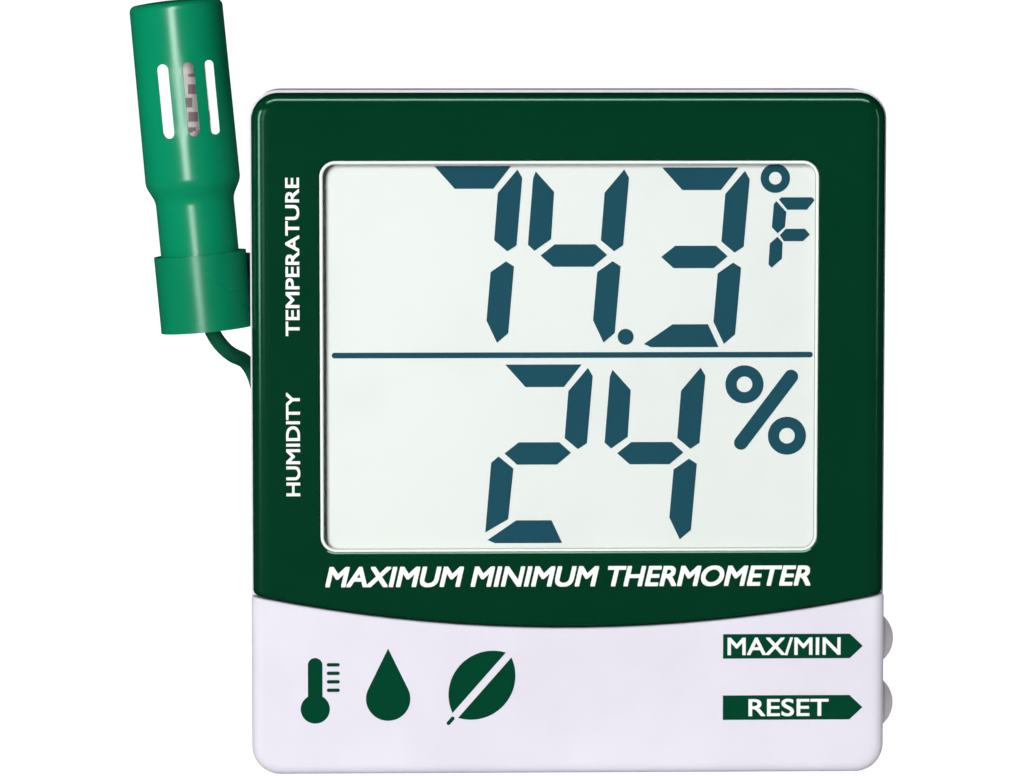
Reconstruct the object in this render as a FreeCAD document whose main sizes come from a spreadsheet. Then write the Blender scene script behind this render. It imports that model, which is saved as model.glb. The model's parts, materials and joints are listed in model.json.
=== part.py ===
import FreeCAD, Part
import math
import os

import Sketcher
from FreeCAD import Placement, Rotation, Vector
from types import SimpleNamespace

# Maximum minimum thermometer: a flat display case with a lift-out air probe in a cup at its left side.
# X runs to the right of the display, -Y is the display side, +Z is up.
# The origin is the middle of the case's underside. All sizes are millimetres.

doc = FreeCAD.newDocument("MaximumMinimumThermometer")

DRIVING_SIZES = {
    # Case shells
    "case_width": 100.0,
    "case_height": 108.0,
    "case_depth": 20.0,
    "case_corner": 4.5,
    "wall": 2.0,
    "inner_corner": 2.5,
    "parting_y": 3.0,
    "rear_round": 2.5,
    "lower_round": 2.0,
    "lower_setback": 0.2,
    "recess_floor": 1.8,
    "edge_break": 0.4,
    # Fascia and its arched lower edge
    "fascia_thickness": 3.4,
    "fascia_side_gap": 0.25,
    "fascia_top_gap": 0.4,
    "fascia_round": 3.0,
    "arch_radius": 243.0,
    "arch_low": 23.3,
    "arch_gap": 0.15,
    "arch_round": 0.9,
    # Display window
    "window_width": 78.3,
    "window_low": 35.45,
    "window_high": 97.05,
    "window_corner": 2.5,
    "lens_recess": 0.4,
    "lens_thickness": 1.4,
    "lens_clearance": 0.1,
    "flange_overlap": 2.3,
    "flange_thickness": 0.8,
    # Liquid crystal cell
    "glass_half_width": 41.0,
    "glass_low": 32.2,
    "glass_high": 100.2,
    "glass_thickness": 1.1,
    "glass_ledge": 2.5,
    "film_thickness": 0.2,
    "film_margin": 1.2,
    "strip_half_width": 38.0,
    "strip_height": 2.3,
    "cell_room": 1.2,
    "cell_pocket_half_width": 43.0,
    "frame_half_width": 46.0,
    "frame_low": 28.8,
    "frame_high": 103.6,
    "frame_clearance": 0.2,
    # Main board
    "board_thickness": 1.0,
    "board_low": 16.0,
    "board_high": 104.0,
    "board_leg_width": 5.8,
    "board_leg_low": 6.0,
    "board_screw_x": 43.6,
    "board_screw_low": 36.0,
    "board_screw_high": 96.0,
    "board_screw_radius": 0.8,
    "board_screw_head": 1.6,
    "blob_radius": 7.0,
    "blob_height": 2.2,
    "blob_x": -12.0,
    "blob_z": 42.0,
    "chip_length": 2.0,
    "chip_width": 1.25,
    "chip_height": 0.8,
    "crystal_radius": 1.0,
    "crystal_length": 6.0,
    "connector_width": 7.4,
    "connector_depth": 5.0,
    "connector_height": 4.6,
    "connector_x": -34.0,
    "connector_z": 27.0,
    # Push buttons on the right side
    "button_radius": 3.45,
    "button_hole": 3.55,
    "button_y": -1.7,
    "button_proud": 2.2,
    "button_dome": 1.5,
    "button_flange": 4.1,
    "button_flange_thickness": 1.0,
    "button_stem": 1.2,
    "button_gap": 0.55,
    "maxmin_z": 20.5,
    "reset_z": 10.15,
    "tact_width": 3.4,
    "tact_height": 3.5,
    "tact_length": 6.0,
    "tact_inset": 4.8,
    # Case screws and top hooks
    "screw_x": 36.0,
    "screw_z": 8.0,
    "screw_radius": 1.0,
    "screw_head": 2.2,
    "screw_head_height": 1.6,
    "screw_length": 9.0,
    "boss_radius": 3.4,
    "front_boss_radius": 2.6,
    "counterbore_y": 6.5,
    "counterbore_radius": 2.5,
    "hook_x": 25.0,
    "hook_half_width": 3.0,
    "hook_reach": 4.0,
    "hook_thickness": 1.2,
    # Tilt stand
    "stand_half_width": 14.6,
    "stand_pivot_y": 8.4,
    "stand_pivot_z": 50.0,
    "stand_thickness": 2.6,
    "stand_foot_z": 3.3,
    "stand_heel": 2.4,
    "stand_pin": 1.2,
    "stand_pin_length": 1.4,
    "stand_side_gap": 0.4,
    "stand_panel_margin": 4.0,
    "stand_panel_depth": 1.0,
    "stand_recess_y": 6.8,
    "stand_recess_low": 2.5,
    "stand_recess_high": 54.0,
    "heel_pocket_y": 5.84,
    "heel_pocket_low": 46.0,
    "pin_clearance": 0.05,
    # Battery bay and door
    "bay_half_length": 25.0,
    "bay_low": 70.4,
    "bay_high": 81.6,
    "bay_floor_y": -2.5,
    "bay_wall": 1.6,
    "bay_floor": 1.0,
    "door_half_width": 27.0,
    "door_low": 68.9,
    "door_high": 83.3,
    "door_y": 8.2,
    "door_thickness": 1.5,
    "door_gap": 0.2,
    "door_pin": 0.7,
    "door_pin_length": 1.2,
    "battery_radius": 5.25,
    "battery_length": 43.6,
    "battery_nub": 0.9,
    "battery_nub_radius": 1.9,
    "battery_y": 2.9,
    "contact_thickness": 0.4,
    "contact_end": 24.4,
    "contact_half_height": 3.6,
    "spring_wire": 0.3,
    "spring_turns": 4.0,
    "spring_wide": 3.4,
    "spring_narrow": 2.2,
    # Unit switch on the back
    "switch_x": 33.0,
    "switch_z": 40.0,
    "switch_travel": 2.0,
    "knob_half_width": 1.5,
    "knob_half_height": 1.4,
    "knob_proud_y": 9.6,
    "slider_half_width": 4.2,
    "slider_half_height": 3.0,
    "slider_thickness": 1.4,
    "slider_stem": 1.0,
    "switch_body_half_width": 4.5,
    "switch_body_half_height": 2.2,
    "switch_body_height": 3.0,
    # Magnets and wall keyhole
    "magnet_x": 36.0,
    "magnet_z": 58.0,
    "magnet_radius": 5.0,
    "magnet_thickness": 1.9,
    "magnet_clearance": 0.05,
    "keyhole_z": 96.5,
    "keyhole_radius": 4.0,
    "keyhole_slot": 2.0,
    "keyhole_rise": 6.0,
    "keyhole_box_half_width": 6.8,
    "keyhole_box_low": 90.5,
    "keyhole_box_y": 4.0,
    # Probe holder
    "holder_x": -57.05,
    "holder_z": 70.0,
    "holder_lean": 5.2,
    "cup_radius": 7.3,
    "cup_bore": 6.28,
    "cup_height": 12.1,
    "cup_ledge_low": 4.0,
    "cup_ledge_high": 5.2,
    "cup_ledge_bore": 3.6,
    "cup_slot_half_width": 1.7,
    "arm_front_y": 3.2,
    "arm_back_y": 7.0,
    "arm_low": 70.3,
    "arm_high": 81.8,
    "foot_thickness": 1.2,
    "foot_extra": 1.7,
    # Probe
    "probe_top": 52.3,
    "probe_top_radius": 7.35,
    "probe_wide_radius": 7.5,
    "probe_neck_radius": 6.18,
    "shoulder_low": 20.8,
    "shoulder_high": 23.4,
    "shoulder_round": 3.0,
    "probe_wall": 1.2,
    "probe_cap": 2.2,
    "probe_crown": 0.5,
    "probe_round": 1.1,
    "slot_width": 1.8,
    "slot_right_width": 1.4,
    "slot_length": 11.7,
    "slot_rear_extra": 1.2,
    "slot_below_top": 15.7,
    "slot_left_x": -2.72,
    "slot_middle_x": 1.3,
    "slot_right_x": 4.5,
    "plug_high": 11.0,
    "plug_clearance": 0.05,
    "mouth_radius": 2.6,
    "bushing_low": 6.2,
    "bushing_high": 9.4,
    "bushing_radius": 2.2,
    "sensor_board_x": 1.0,
    "sensor_board_half_width": 2.7,
    "sensor_board_thickness": 0.8,
    "sensor_board_low": 14.0,
    "sensor_board_high": 46.5,
    "humidity_half_width": 2.2,
    "humidity_height": 1.2,
    "humidity_low": 31.5,
    "humidity_high": 40.5,
    "bead_radius": 1.1,
    # Cable
    "cable_radius": 1.2,
    "grommet_x": -20.4,
    "grommet_z": 8.0,
    "grommet_hole": 3.0,
    "grommet_flange": 4.2,
    "grommet_flange_thickness": 0.7,
    "grommet_lip": 3.35,
    "coil_x": -33.8,
    "coil_y": 26.8,
    "coil_outer_turn": 13.4,
    "coil_inner_turn": 11.0,
    "coil_layers": 3.0,
}


class Size:
    """A length that keeps its value together with the sheet formula that gives it."""

    def __init__(self, value, formula=None):
        self.value = float(value)
        self.formula = formula or f"({self.value!r})"

    @staticmethod
    def of(other):
        return other if isinstance(other, Size) else Size(other)

    def joined(self, other, value, sign, swapped=False):
        first, second = (Size.of(other), self) if swapped else (self, Size.of(other))
        return Size(value, f"({first.formula} {sign} {second.formula})")

    def __add__(self, other):
        return self.joined(other, self.value + Size.of(other).value, "+")

    def __radd__(self, other):
        return self.joined(other, Size.of(other).value + self.value, "+", swapped=True)

    def __sub__(self, other):
        return self.joined(other, self.value - Size.of(other).value, "-")

    def __rsub__(self, other):
        return self.joined(other, Size.of(other).value - self.value, "-", swapped=True)

    def __mul__(self, other):
        return self.joined(other, self.value * Size.of(other).value, "*")

    def __rmul__(self, other):
        return self.joined(other, Size.of(other).value * self.value, "*", swapped=True)

    def __truediv__(self, other):
        return self.joined(other, self.value / Size.of(other).value, "/")

    def __neg__(self):
        return Size(-self.value, f"(-1 * {self.formula})")

    def root(self):
        return Size(math.sqrt(self.value), f"sqrt({self.formula})")


sheet = doc.addObject("Spreadsheet::Sheet", "Sizes")
for row, (alias, number) in enumerate(DRIVING_SIZES.items(), start=1):
    sheet.set(f"A{row}", alias)
    sheet.set(f"B{row}", str(number))
    sheet.setAlias(f"B{row}", alias)
doc.recompute()

s = SimpleNamespace(**{alias: Size(number, f"Sizes.{alias}") for alias, number in DRIVING_SIZES.items()})

# Planes through the case from front to back
front = -s.case_depth / 2
rear = s.case_depth / 2
lower_face = front + s.lower_setback
fascia_back = front + s.fascia_thickness
floor_back = fascia_back + s.recess_floor
lens_front = front + s.lens_recess
lens_back = lens_front + s.lens_thickness
flange_front = lens_back - s.flange_thickness
film_front = lens_back + s.film_thickness
front_glass_y = film_front + s.film_thickness
rear_glass_y = front_glass_y + s.glass_thickness
reflector_y = rear_glass_y + s.glass_thickness
cushion_y = reflector_y + s.film_thickness
board_front = floor_back + 0.2
board_back = board_front + s.board_thickness
back_wall_y = rear - s.wall
side = s.case_width / 2
inner_side = side - s.wall
inner_top = s.case_height - s.wall


# ---------------------------------------------------------------------------------------------
# Short calls for sketches, part-design bodies and primitives, all bound to the sheet
# ---------------------------------------------------------------------------------------------

def bind(target, path, size):
    """Bind one property of an object to the sheet formula of a size."""
    target.setExpression(path, Size.of(size).formula)


def place(target, x=None, y=None, z=None):
    """Bind the given coordinates of an object's placement."""
    for letter, size in (("x", x), ("y", y), ("z", z)):
        if size is not None:
            bind(target, f"Placement.Base.{letter}", size)


def fix_coordinate(sketch, kind, geometry, point, size):
    """Hold one coordinate of a sketch point, on the axis itself where the size is zero."""
    if abs(size.value) < 1e-9:
        axis = -2 if kind == "DistanceX" else -1
        sketch.addConstraint(Sketcher.Constraint("PointOnObject", geometry, point, axis))
        return
    index = sketch.addConstraint(Sketcher.Constraint(kind, -1, 1, geometry, point, size.value))
    sketch.setExpression(f"Constraints[{index}]", size.formula)


def circle(x, y, radius):
    """A circle to draw in a sketch."""
    x, y, radius = Size.of(x), Size.of(y), Size.of(radius)

    def draw(sketch):
        shape = Part.Circle(Vector(x.value, y.value, 0), Vector(0, 0, 1), radius.value)
        index = sketch.addGeometry(shape, False)
        fix_coordinate(sketch, "DistanceX", index, 3, x)
        fix_coordinate(sketch, "DistanceY", index, 3, y)
        held = sketch.addConstraint(Sketcher.Constraint("Radius", index, radius.value))
        sketch.setExpression(f"Constraints[{held}]", radius.formula)
    return draw


def outline(vertices, arcs=None):
    """A closed outline to draw in a sketch.

    arcs maps the number of an edge to (centre, turns_left); the other edges are straight.
    """
    corners = [(Size.of(x), Size.of(y)) for x, y in vertices]
    arcs = {index: ((Size.of(c[0]), Size.of(c[1])), left) for index, (c, left) in (arcs or {}).items()}

    def draw(sketch):
        flat = [Vector(x.value, y.value, 0) for x, y in corners]
        ends = []
        for number, start in enumerate(flat):
            finish = flat[(number + 1) % len(flat)]
            if number not in arcs:
                ends.append((sketch.addGeometry(Part.LineSegment(start, finish), False), 1, 2))
                continue
            (cx, cy), left = arcs[number]
            centre = Vector(cx.value, cy.value, 0)
            first, last = (start, finish) if left else (finish, start)
            angles = [math.atan2(p.y - centre.y, p.x - centre.x) for p in (first, last)]
            full = Part.Circle(centre, Vector(0, 0, 1), (start - centre).Length)
            index = sketch.addGeometry(Part.ArcOfCircle(full, angles[0], angles[1]), False)
            ends.append((index, 1, 2) if left else (index, 2, 1))
            chord = finish - start
            if abs(chord.x) > abs(chord.y):
                fix_coordinate(sketch, "DistanceY", index, 3, cy)
            else:
                fix_coordinate(sketch, "DistanceX", index, 3, cx)
        for number, (index, start_point, _) in enumerate(ends):
            before, _, before_end = ends[number - 1]
            sketch.addConstraint(Sketcher.Constraint("Coincident", before, before_end, index, start_point))
            x, y = corners[number]
            fix_coordinate(sketch, "DistanceX", index, start_point, x)
            fix_coordinate(sketch, "DistanceY", index, start_point, y)
    return draw


def rectangle(x, y):
    """A rectangle over the spans x and y."""
    return outline([(x[0], y[0]), (x[1], y[0]), (x[1], y[1]), (x[0], y[1])])


def rounded(x, y, r):
    """A rectangle over the spans x and y with rounded corners."""
    (x0, x1), (y0, y1) = x, y
    vertices = [(x0 + r, y0), (x1 - r, y0), (x1, y0 + r), (x1, y1 - r),
                (x1 - r, y1), (x0 + r, y1), (x0, y1 - r), (x0, y0 + r)]
    centres = [(x1 - r, y0 + r), (x1 - r, y1 - r), (x0 + r, y1 - r), (x0 + r, y0 + r)]
    return outline(vertices, {2 * number + 1: (centre, True) for number, centre in enumerate(centres)})


def both(half):
    """The span from minus half to plus half."""
    return -half, half


def around(middle, half):
    """The span of half either side of the middle."""
    return middle - half, middle + half


class Piece:
    """A part-design body with short calls for the features used here."""

    planes = {"X": ("YZ_Plane", 1), "Y": ("XZ_Plane", -1), "Z": ("XY_Plane", 1)}

    def __init__(self, name):
        self.body = doc.addObject("PartDesign::Body", name)
        self.body.Label = name

    def sketch(self, axis, at, outlines):
        """A sketch across the named axis, at that coordinate along it."""
        role, direction = self.planes[axis]
        plane = next(item for item in self.body.Origin.OriginFeatures if item.Role == role)
        drawing = self.body.newObject("Sketcher::SketchObject", f"{self.body.Name}_sketch")
        drawing.AttachmentSupport = (plane, [""])
        drawing.MapMode = "FlatFace"
        bind(drawing, "AttachmentOffset.Base.z", direction * at)
        for draw in outlines:
            draw(drawing)
        return drawing

    def pad(self, axis, lo, hi, *outlines):
        """Add material over the span lo to hi along the axis."""
        return self.extruded("PartDesign::Pad", axis, lo, hi, outlines)

    def pocket(self, axis, lo, hi, *outlines):
        """Take material away over the span lo to hi along the axis."""
        doc.recompute()
        before = self.body.Shape.Volume
        feature = self.extruded("PartDesign::Pocket", axis, lo, hi, outlines)
        doc.recompute()
        if self.body.Shape.Volume >= before - 1e-6:
            raise RuntimeError(f"{feature.Name} cuts nothing")
        return feature

    def extruded(self, kind, axis, lo, hi, outlines):
        lo, hi = Size.of(lo), Size.of(hi)
        adds = kind == "PartDesign::Pad"
        starts_low = adds == (self.planes[axis][1] > 0)
        drawing = self.sketch(axis, lo if starts_low else hi, outlines)
        feature = self.body.newObject(kind, f"{self.body.Name}_{'pad' if adds else 'pocket'}")
        feature.Profile = drawing
        feature.Type = "Length"
        bind(feature, "Length", hi - lo)
        drawing.Visibility = False
        return feature

    def revolve(self, plane_axis, about, shape, removes=False):
        """Turn an outline fully about the sketch's H_Axis or V_Axis."""
        drawing = self.sketch(plane_axis, Size(0), [shape])
        kind = "PartDesign::Groove" if removes else "PartDesign::Revolution"
        feature = self.body.newObject(kind, f"{self.body.Name}_turned")
        feature.Profile = drawing
        feature.ReferenceAxis = (drawing, [about])
        feature.Angle = 360
        return feature

    def fillet(self, radius, chosen, kind="PartDesign::Fillet"):
        """Round the edges of the present shape that the test picks."""
        doc.recompute()
        base = self.body.Tip
        names = [f"Edge{i}" for i, edge in enumerate(base.Shape.Edges, start=1) if chosen(edge.BoundBox)]
        if not names:
            raise RuntimeError(f"no edge to round on {self.body.Name}")
        feature = self.body.newObject(kind, f"{self.body.Name}_rounding")
        feature.Base = (base, names)
        bind(feature, "Radius" if kind == "PartDesign::Fillet" else "Size", radius)
        doc.recompute()
        if "Invalid" in feature.State or "Error" in feature.State:
            raise RuntimeError(f"{feature.Name} failed on {names}")
        return feature


def at_y(box, size):
    """True for an edge that lies in the plane y = size."""
    return abs(box.YMin - size.value) < 1e-4 and abs(box.YMax - size.value) < 1e-4


def block(name, x, y, z):
    """A box over three spans."""
    box = doc.addObject("Part::Box", name)
    for prop, (lo, hi) in zip(("Length", "Width", "Height"), (x, y, z)):
        bind(box, prop, Size.of(hi) - lo)
    place(box, x[0], y[0], z[0])
    return box


AXIS_TURNS = {
    "X": Rotation(Vector(0, 1, 0), 90),
    "Y": Rotation(Vector(1, 0, 0), -90),
    "Z": Rotation(),
}


def rod(name, axis, span, centre, radius):
    """A cylinder along the named axis over a span; centre gives its other two coordinates."""
    cylinder = doc.addObject("Part::Cylinder", name)
    cylinder.Placement = Placement(Vector(), AXIS_TURNS[axis])
    bind(cylinder, "Radius", radius)
    bind(cylinder, "Height", Size.of(span[1]) - span[0])
    where = list(centre)
    where.insert("XYZ".index(axis), span[0])
    place(cylinder, *where)
    return cylinder


def fused(name, shapes):
    """One solid from several that meet."""
    joined = doc.addObject("Part::MultiFuse", name)
    joined.Shapes = shapes
    return joined


def cut(name, base, tools):
    """The base with the tools' space taken out."""
    removed = tools[0] if len(tools) == 1 else fused(f"{name}_tools", tools)
    result = doc.addObject("Part::Cut", name)
    result.Base = base
    result.Tool = removed
    return result


def group(name, members):
    """Several separate solids of one kind in one node."""
    together = doc.addObject("Part::Compound", name)
    together.Links = members
    return together


nodes = {}


def keep(name, target):
    """Take an object as the sub-part of that name."""
    target.Label = name
    nodes[name] = target
    return target


def lean(target):
    """Stand an object that is built about the Z axis in the leaning cup."""
    target.Placement = Placement(Vector(), Rotation(Vector(0, -1, 0), s.holder_lean.value))
    bind(target, "Placement.Rotation.Angle", s.holder_lean)
    place(target, s.holder_x, Size(0), s.holder_z)
    return target


# ---------------------------------------------------------------------------------------------
# Case shells
# ---------------------------------------------------------------------------------------------

arch_centre = s.arch_low + s.arch_radius


def arch_height(x, radius):
    """Height of the arch of that radius at the distance x from the middle."""
    return arch_centre - (radius * radius - x * x).root()


def above_arch(half_width, top, radius):
    """Outline with straight sides and top, and the arch as its lower edge."""
    low = arch_height(half_width, radius)
    vertices = [(-half_width, low), (half_width, low), (half_width, top), (-half_width, top)]
    return outline(vertices, {0: ((Size(0), arch_centre), True)})


def below_arch(half_width, bottom, radius):
    """Outline with straight sides and bottom, and the arch as its upper edge."""
    high = arch_height(half_width, radius)
    vertices = [(-half_width, bottom), (half_width, bottom), (half_width, high), (-half_width, high)]
    return outline(vertices, {2: ((Size(0), arch_centre), False)})


def case_outline():
    return rounded(both(side), (Size(0), s.case_height), s.case_corner)


def case_cavity():
    return rounded(both(inner_side), (s.wall, inner_top), s.inner_corner)


def make_front_case():
    """White front shell: a face below the arch, and a recess above it that takes the fascia."""
    piece = Piece("front_case")
    piece.pad("Y", lower_face, s.parting_y, case_outline())
    piece.fillet(s.lower_round, lambda box: at_y(box, lower_face))
    piece.pocket("Y", lower_face - 1, fascia_back, above_arch(side + 1, s.case_height + 1, s.arch_radius))
    piece.fillet(s.edge_break, lambda box: at_y(box, lower_face) and box.ZMin > s.arch_low.value - 0.1)
    piece.pocket("Y", floor_back, s.parting_y + 1, case_cavity())
    piece.pocket("Y", lower_face + s.wall, floor_back + 1,
                 below_arch(inner_side, s.wall, s.arch_radius + s.wall))
    gap = s.frame_clearance
    piece.pocket("Y", fascia_back - 1, floor_back + 1,
                 rectangle(both(s.frame_half_width + gap), (s.frame_low - gap, s.frame_high + gap)))
    for z in (s.maxmin_z, s.reset_z):
        piece.pocket("X", inner_side - 1, side + 1, circle(s.button_y, z, s.button_hole))
    for x in both(s.screw_x):
        piece.pad("Y", lower_face + s.wall - 0.5, s.parting_y, circle(x, s.screw_z, s.front_boss_radius))
        piece.pocket("Y", s.counterbore_y - s.screw_length - 0.5, s.parting_y + 1,
                     circle(x, s.screw_z, s.screw_radius + 0.02))
    for x in both(s.hook_x):
        piece.pocket("Y", s.parting_y - s.hook_reach - 0.2, s.parting_y - s.hook_reach + 1.6,
                     rectangle(around(x, s.hook_half_width + 0.2), (inner_top - 0.5, inner_top + 1)))
    return piece.body


def make_rear_case():
    """White rear shell with the stand recess, battery bay, keyhole, magnet seats and cable hole."""
    piece = Piece("rear_case")
    piece.pad("Y", s.parting_y, rear, case_outline())
    piece.fillet(s.rear_round, lambda box: at_y(box, rear))
    piece.pocket("Y", s.parting_y - 1, back_wall_y, case_cavity())

    recess_half = s.stand_half_width + s.stand_side_gap
    piece.pad("Y", s.stand_recess_y - s.wall, back_wall_y + 0.5,
              rectangle(both(recess_half + s.wall), (s.wall - 0.5, s.stand_recess_high + s.wall)))
    piece.pad("Y", s.stand_recess_y - s.wall - 1, back_wall_y + 0.5,
              rectangle(both(recess_half + s.wall), (s.heel_pocket_low - s.wall, s.stand_recess_high + s.wall)))
    piece.pocket("Y", s.stand_recess_y, rear + 1,
                 rectangle(both(recess_half), (s.stand_recess_low, s.stand_recess_high)))
    piece.pocket("Y", s.heel_pocket_y, s.stand_recess_y + 0.5,
                 rectangle(both(recess_half), (s.heel_pocket_low, s.stand_recess_high)))
    thumb = s.stand_half_width / 2
    piece.pocket("Y", s.stand_recess_y - 1, rear + 1,
                 rounded(both(thumb), (s.stand_recess_low, s.stand_recess_low + thumb), s.wall))
    pin_hole = s.stand_pin + s.pin_clearance
    reach = recess_half + s.stand_pin_length - s.stand_side_gap + 0.2
    piece.pocket("X", -reach, reach, circle(s.stand_pivot_y, s.stand_pivot_z, pin_hole))

    tub = s.bay_wall
    piece.pad("Y", s.bay_floor_y - s.bay_floor, back_wall_y + 0.5,
              rectangle(both(s.bay_half_length + tub), (s.bay_low - tub, s.bay_high + tub)))
    collar = s.wall + s.door_gap
    piece.pad("Y", back_wall_y - tub, back_wall_y + 0.5,
              rectangle(both(s.door_half_width + collar), (s.door_low - collar, s.door_high + collar)))
    piece.pocket("Y", s.bay_floor_y, rear + 1, rectangle(both(s.bay_half_length), (s.bay_low, s.bay_high)))
    piece.pocket("Y", s.door_y - 0.05, rear + 1,
                 rectangle(both(s.door_half_width + s.door_gap),
                           (s.door_low - s.door_gap, s.door_high + s.door_gap)))
    door_reach = s.door_half_width + s.door_pin_length + 0.2
    piece.pocket("X", -door_reach, door_reach,
                 circle(s.door_y + s.door_thickness / 2, s.door_low + s.door_thickness / 2,
                        s.door_pin + s.pin_clearance))
    for x in both(s.contact_end + s.contact_thickness / 2):
        piece.pocket("Y", s.bay_floor_y - s.bay_floor - 1, s.bay_floor_y + 0.5,
                     rectangle(around(x, s.contact_thickness), around((s.bay_low + s.bay_high) / 2, Size(1.2))))

    piece.pad("Y", s.keyhole_box_y, back_wall_y + 0.5,
              rectangle(both(s.keyhole_box_half_width), (s.keyhole_box_low, inner_top + 0.5)))
    hollow = s.keyhole_radius + 1.2
    piece.pocket("Y", s.keyhole_box_y + 1.5, back_wall_y + 0.5,
                 rounded(both(hollow), (s.keyhole_z - hollow, s.keyhole_z + s.keyhole_rise + 3), s.wall))
    piece.pocket("Y", back_wall_y - 1, rear + 1, circle(Size(0), s.keyhole_z, s.keyhole_radius))
    top = s.keyhole_z + s.keyhole_rise
    slot = s.keyhole_slot
    piece.pocket("Y", back_wall_y - 1, rear + 1,
                 outline([(-slot, s.keyhole_z), (slot, s.keyhole_z), (slot, top), (-slot, top)],
                         {2: ((Size(0), top), True)}))

    seat = s.magnet_radius + s.magnet_clearance
    for x in both(s.magnet_x):
        piece.pad("Y", back_wall_y - s.wall, back_wall_y + 0.5, circle(x, s.magnet_z, seat + 1.2))
        piece.pocket("Y", rear - s.magnet_thickness - 0.1, rear + 1, circle(x, s.magnet_z, seat))
    clear = s.screw_radius + 0.25
    for x in both(s.screw_x):
        piece.pad("Y", s.parting_y, back_wall_y + 0.5, circle(x, s.screw_z, s.boss_radius))
        piece.pocket("Y", s.parting_y - 1, s.counterbore_y + 0.5, circle(x, s.screw_z, clear))
        piece.pocket("Y", s.counterbore_y, rear + 1, circle(x, s.screw_z, s.counterbore_radius))

    middle = s.switch_x + s.switch_travel / 2
    travel_half = s.knob_half_width + s.switch_travel / 2 + 0.2
    piece.pocket("Y", back_wall_y - 1, rear + 1,
                 rectangle(around(middle, travel_half), around(s.switch_z, s.knob_half_height + 0.15)))
    rail = s.slider_half_height + 0.2
    for z in (s.switch_z + rail, s.switch_z - rail - s.wall / 2):
        piece.pad("Y", back_wall_y - s.wall, back_wall_y + 0.5,
                  rectangle(around(middle, travel_half + s.slider_half_width), (z, z + s.wall / 2)))

    piece.pocket("Y", back_wall_y - 1, rear + 1, circle(s.grommet_x, s.grommet_z, s.grommet_hole))
    piece.pocket("Y", rear - s.grommet_flange_thickness, rear + 1,
                 circle(s.grommet_x, s.grommet_z, s.grommet_flange + 0.2))

    for x in both(s.hook_x):
        low = inner_top - 0.2 - s.hook_thickness
        tip = s.parting_y - s.hook_reach
        piece.pad("Y", tip, back_wall_y + 0.5,
                  rectangle(around(x, s.hook_half_width), (low, low + s.hook_thickness)))
        piece.pad("Y", tip, tip + 1.2,
                  rectangle(around(x, s.hook_half_width), (low + 0.5, inner_top + 0.8)))

    piece.pocket("X", -side - 1, -inner_side + 1,
                 rectangle((s.parting_y - 1, s.arm_back_y + 0.1), (s.arm_low - 0.1, s.arm_high + 0.1)))
    return piece.body


def make_fascia():
    """Glossy dark cover plate with rounded sides and an arched lower edge around the window."""
    piece = Piece("fascia")
    half = side - s.fascia_side_gap
    top = s.case_height - s.fascia_top_gap
    radius = s.arch_radius - s.arch_gap
    piece.pad("Y", front, fascia_back, above_arch(half, top, radius))
    corner = s.case_corner - s.fascia_side_gap
    piece.fillet(corner, lambda box: box.YLength > 1 and box.ZMin > s.window_high.value)
    piece.fillet(s.fascia_round, lambda box: at_y(box, front) and box.ZMax > s.window_low.value)
    piece.fillet(s.arch_round, lambda box: at_y(box, front) and box.ZMax < s.window_low.value)
    window = (s.window_low, s.window_high)
    piece.pocket("Y", front - 1, fascia_back + 1, rounded(both(s.window_width / 2), window, s.window_corner))
    piece.fillet(s.lens_recess / 2,
                 lambda box: at_y(box, front) and box.ZMin > s.window_low.value - 1
                 and box.ZMax < s.window_high.value + 1 and box.XMax < s.window_width.value / 2 + 1
                 and box.XMin > -s.window_width.value / 2 - 1,
                 kind="PartDesign::Chamfer")
    room = s.flange_overlap + s.lens_clearance
    piece.pocket("Y", flange_front, fascia_back + 1,
                 rectangle(both(s.window_width / 2 + room), (s.window_low - room, s.window_high + room)))
    piece.pocket("Y", lens_back, fascia_back + 1,
                 rectangle(both(s.cell_pocket_half_width), (s.glass_low - s.cell_room, s.glass_high + s.cell_room)))
    return piece.body


def make_display_window():
    """Clear stepped window: the middle fills the fascia's opening, the flange bears on its back."""
    piece = Piece("display_window")
    gap = s.lens_clearance
    half = s.window_width / 2 - gap
    piece.pad("Y", lens_front, lens_back,
              rounded(both(half), (s.window_low + gap, s.window_high - gap), s.window_corner - gap))
    over = s.flange_overlap
    piece.pad("Y", flange_front, lens_back,
              rectangle(both(half + over), (s.window_low + gap - over, s.window_high - gap + over)))
    return piece.body


keep("front_case", make_front_case())
keep("rear_case", make_rear_case())
keep("fascia", make_fascia())
keep("display_window", make_display_window())


# ---------------------------------------------------------------------------------------------
# Display and boards
# ---------------------------------------------------------------------------------------------

glass_x = both(s.glass_half_width)
film_x = both(s.glass_half_width - s.film_margin)
front_glass_z = (s.glass_low, s.glass_high)
rear_glass_z = (s.glass_low + s.glass_ledge, s.glass_high - s.glass_ledge)
film_z = (rear_glass_z[0] + 0.3, rear_glass_z[1] - 0.3)


def make_frame():
    """Frame that holds the glass square and takes the board's four screws."""
    piece = Piece("lcd_frame")
    piece.pad("Y", fascia_back, board_front, rectangle(both(s.frame_half_width), (s.frame_low, s.frame_high)))
    piece.pocket("Y", fascia_back - 1, board_front + 1,
                 rectangle(both(s.glass_half_width + 0.2), (s.glass_low - 0.2, s.glass_high + 0.2)))
    for x in both(s.board_screw_x):
        for z in (s.board_screw_low, s.board_screw_high):
            piece.pocket("Y", fascia_back - 1, board_front + 1, circle(x, z, s.board_screw_radius + 0.02))
    return piece.body


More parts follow.
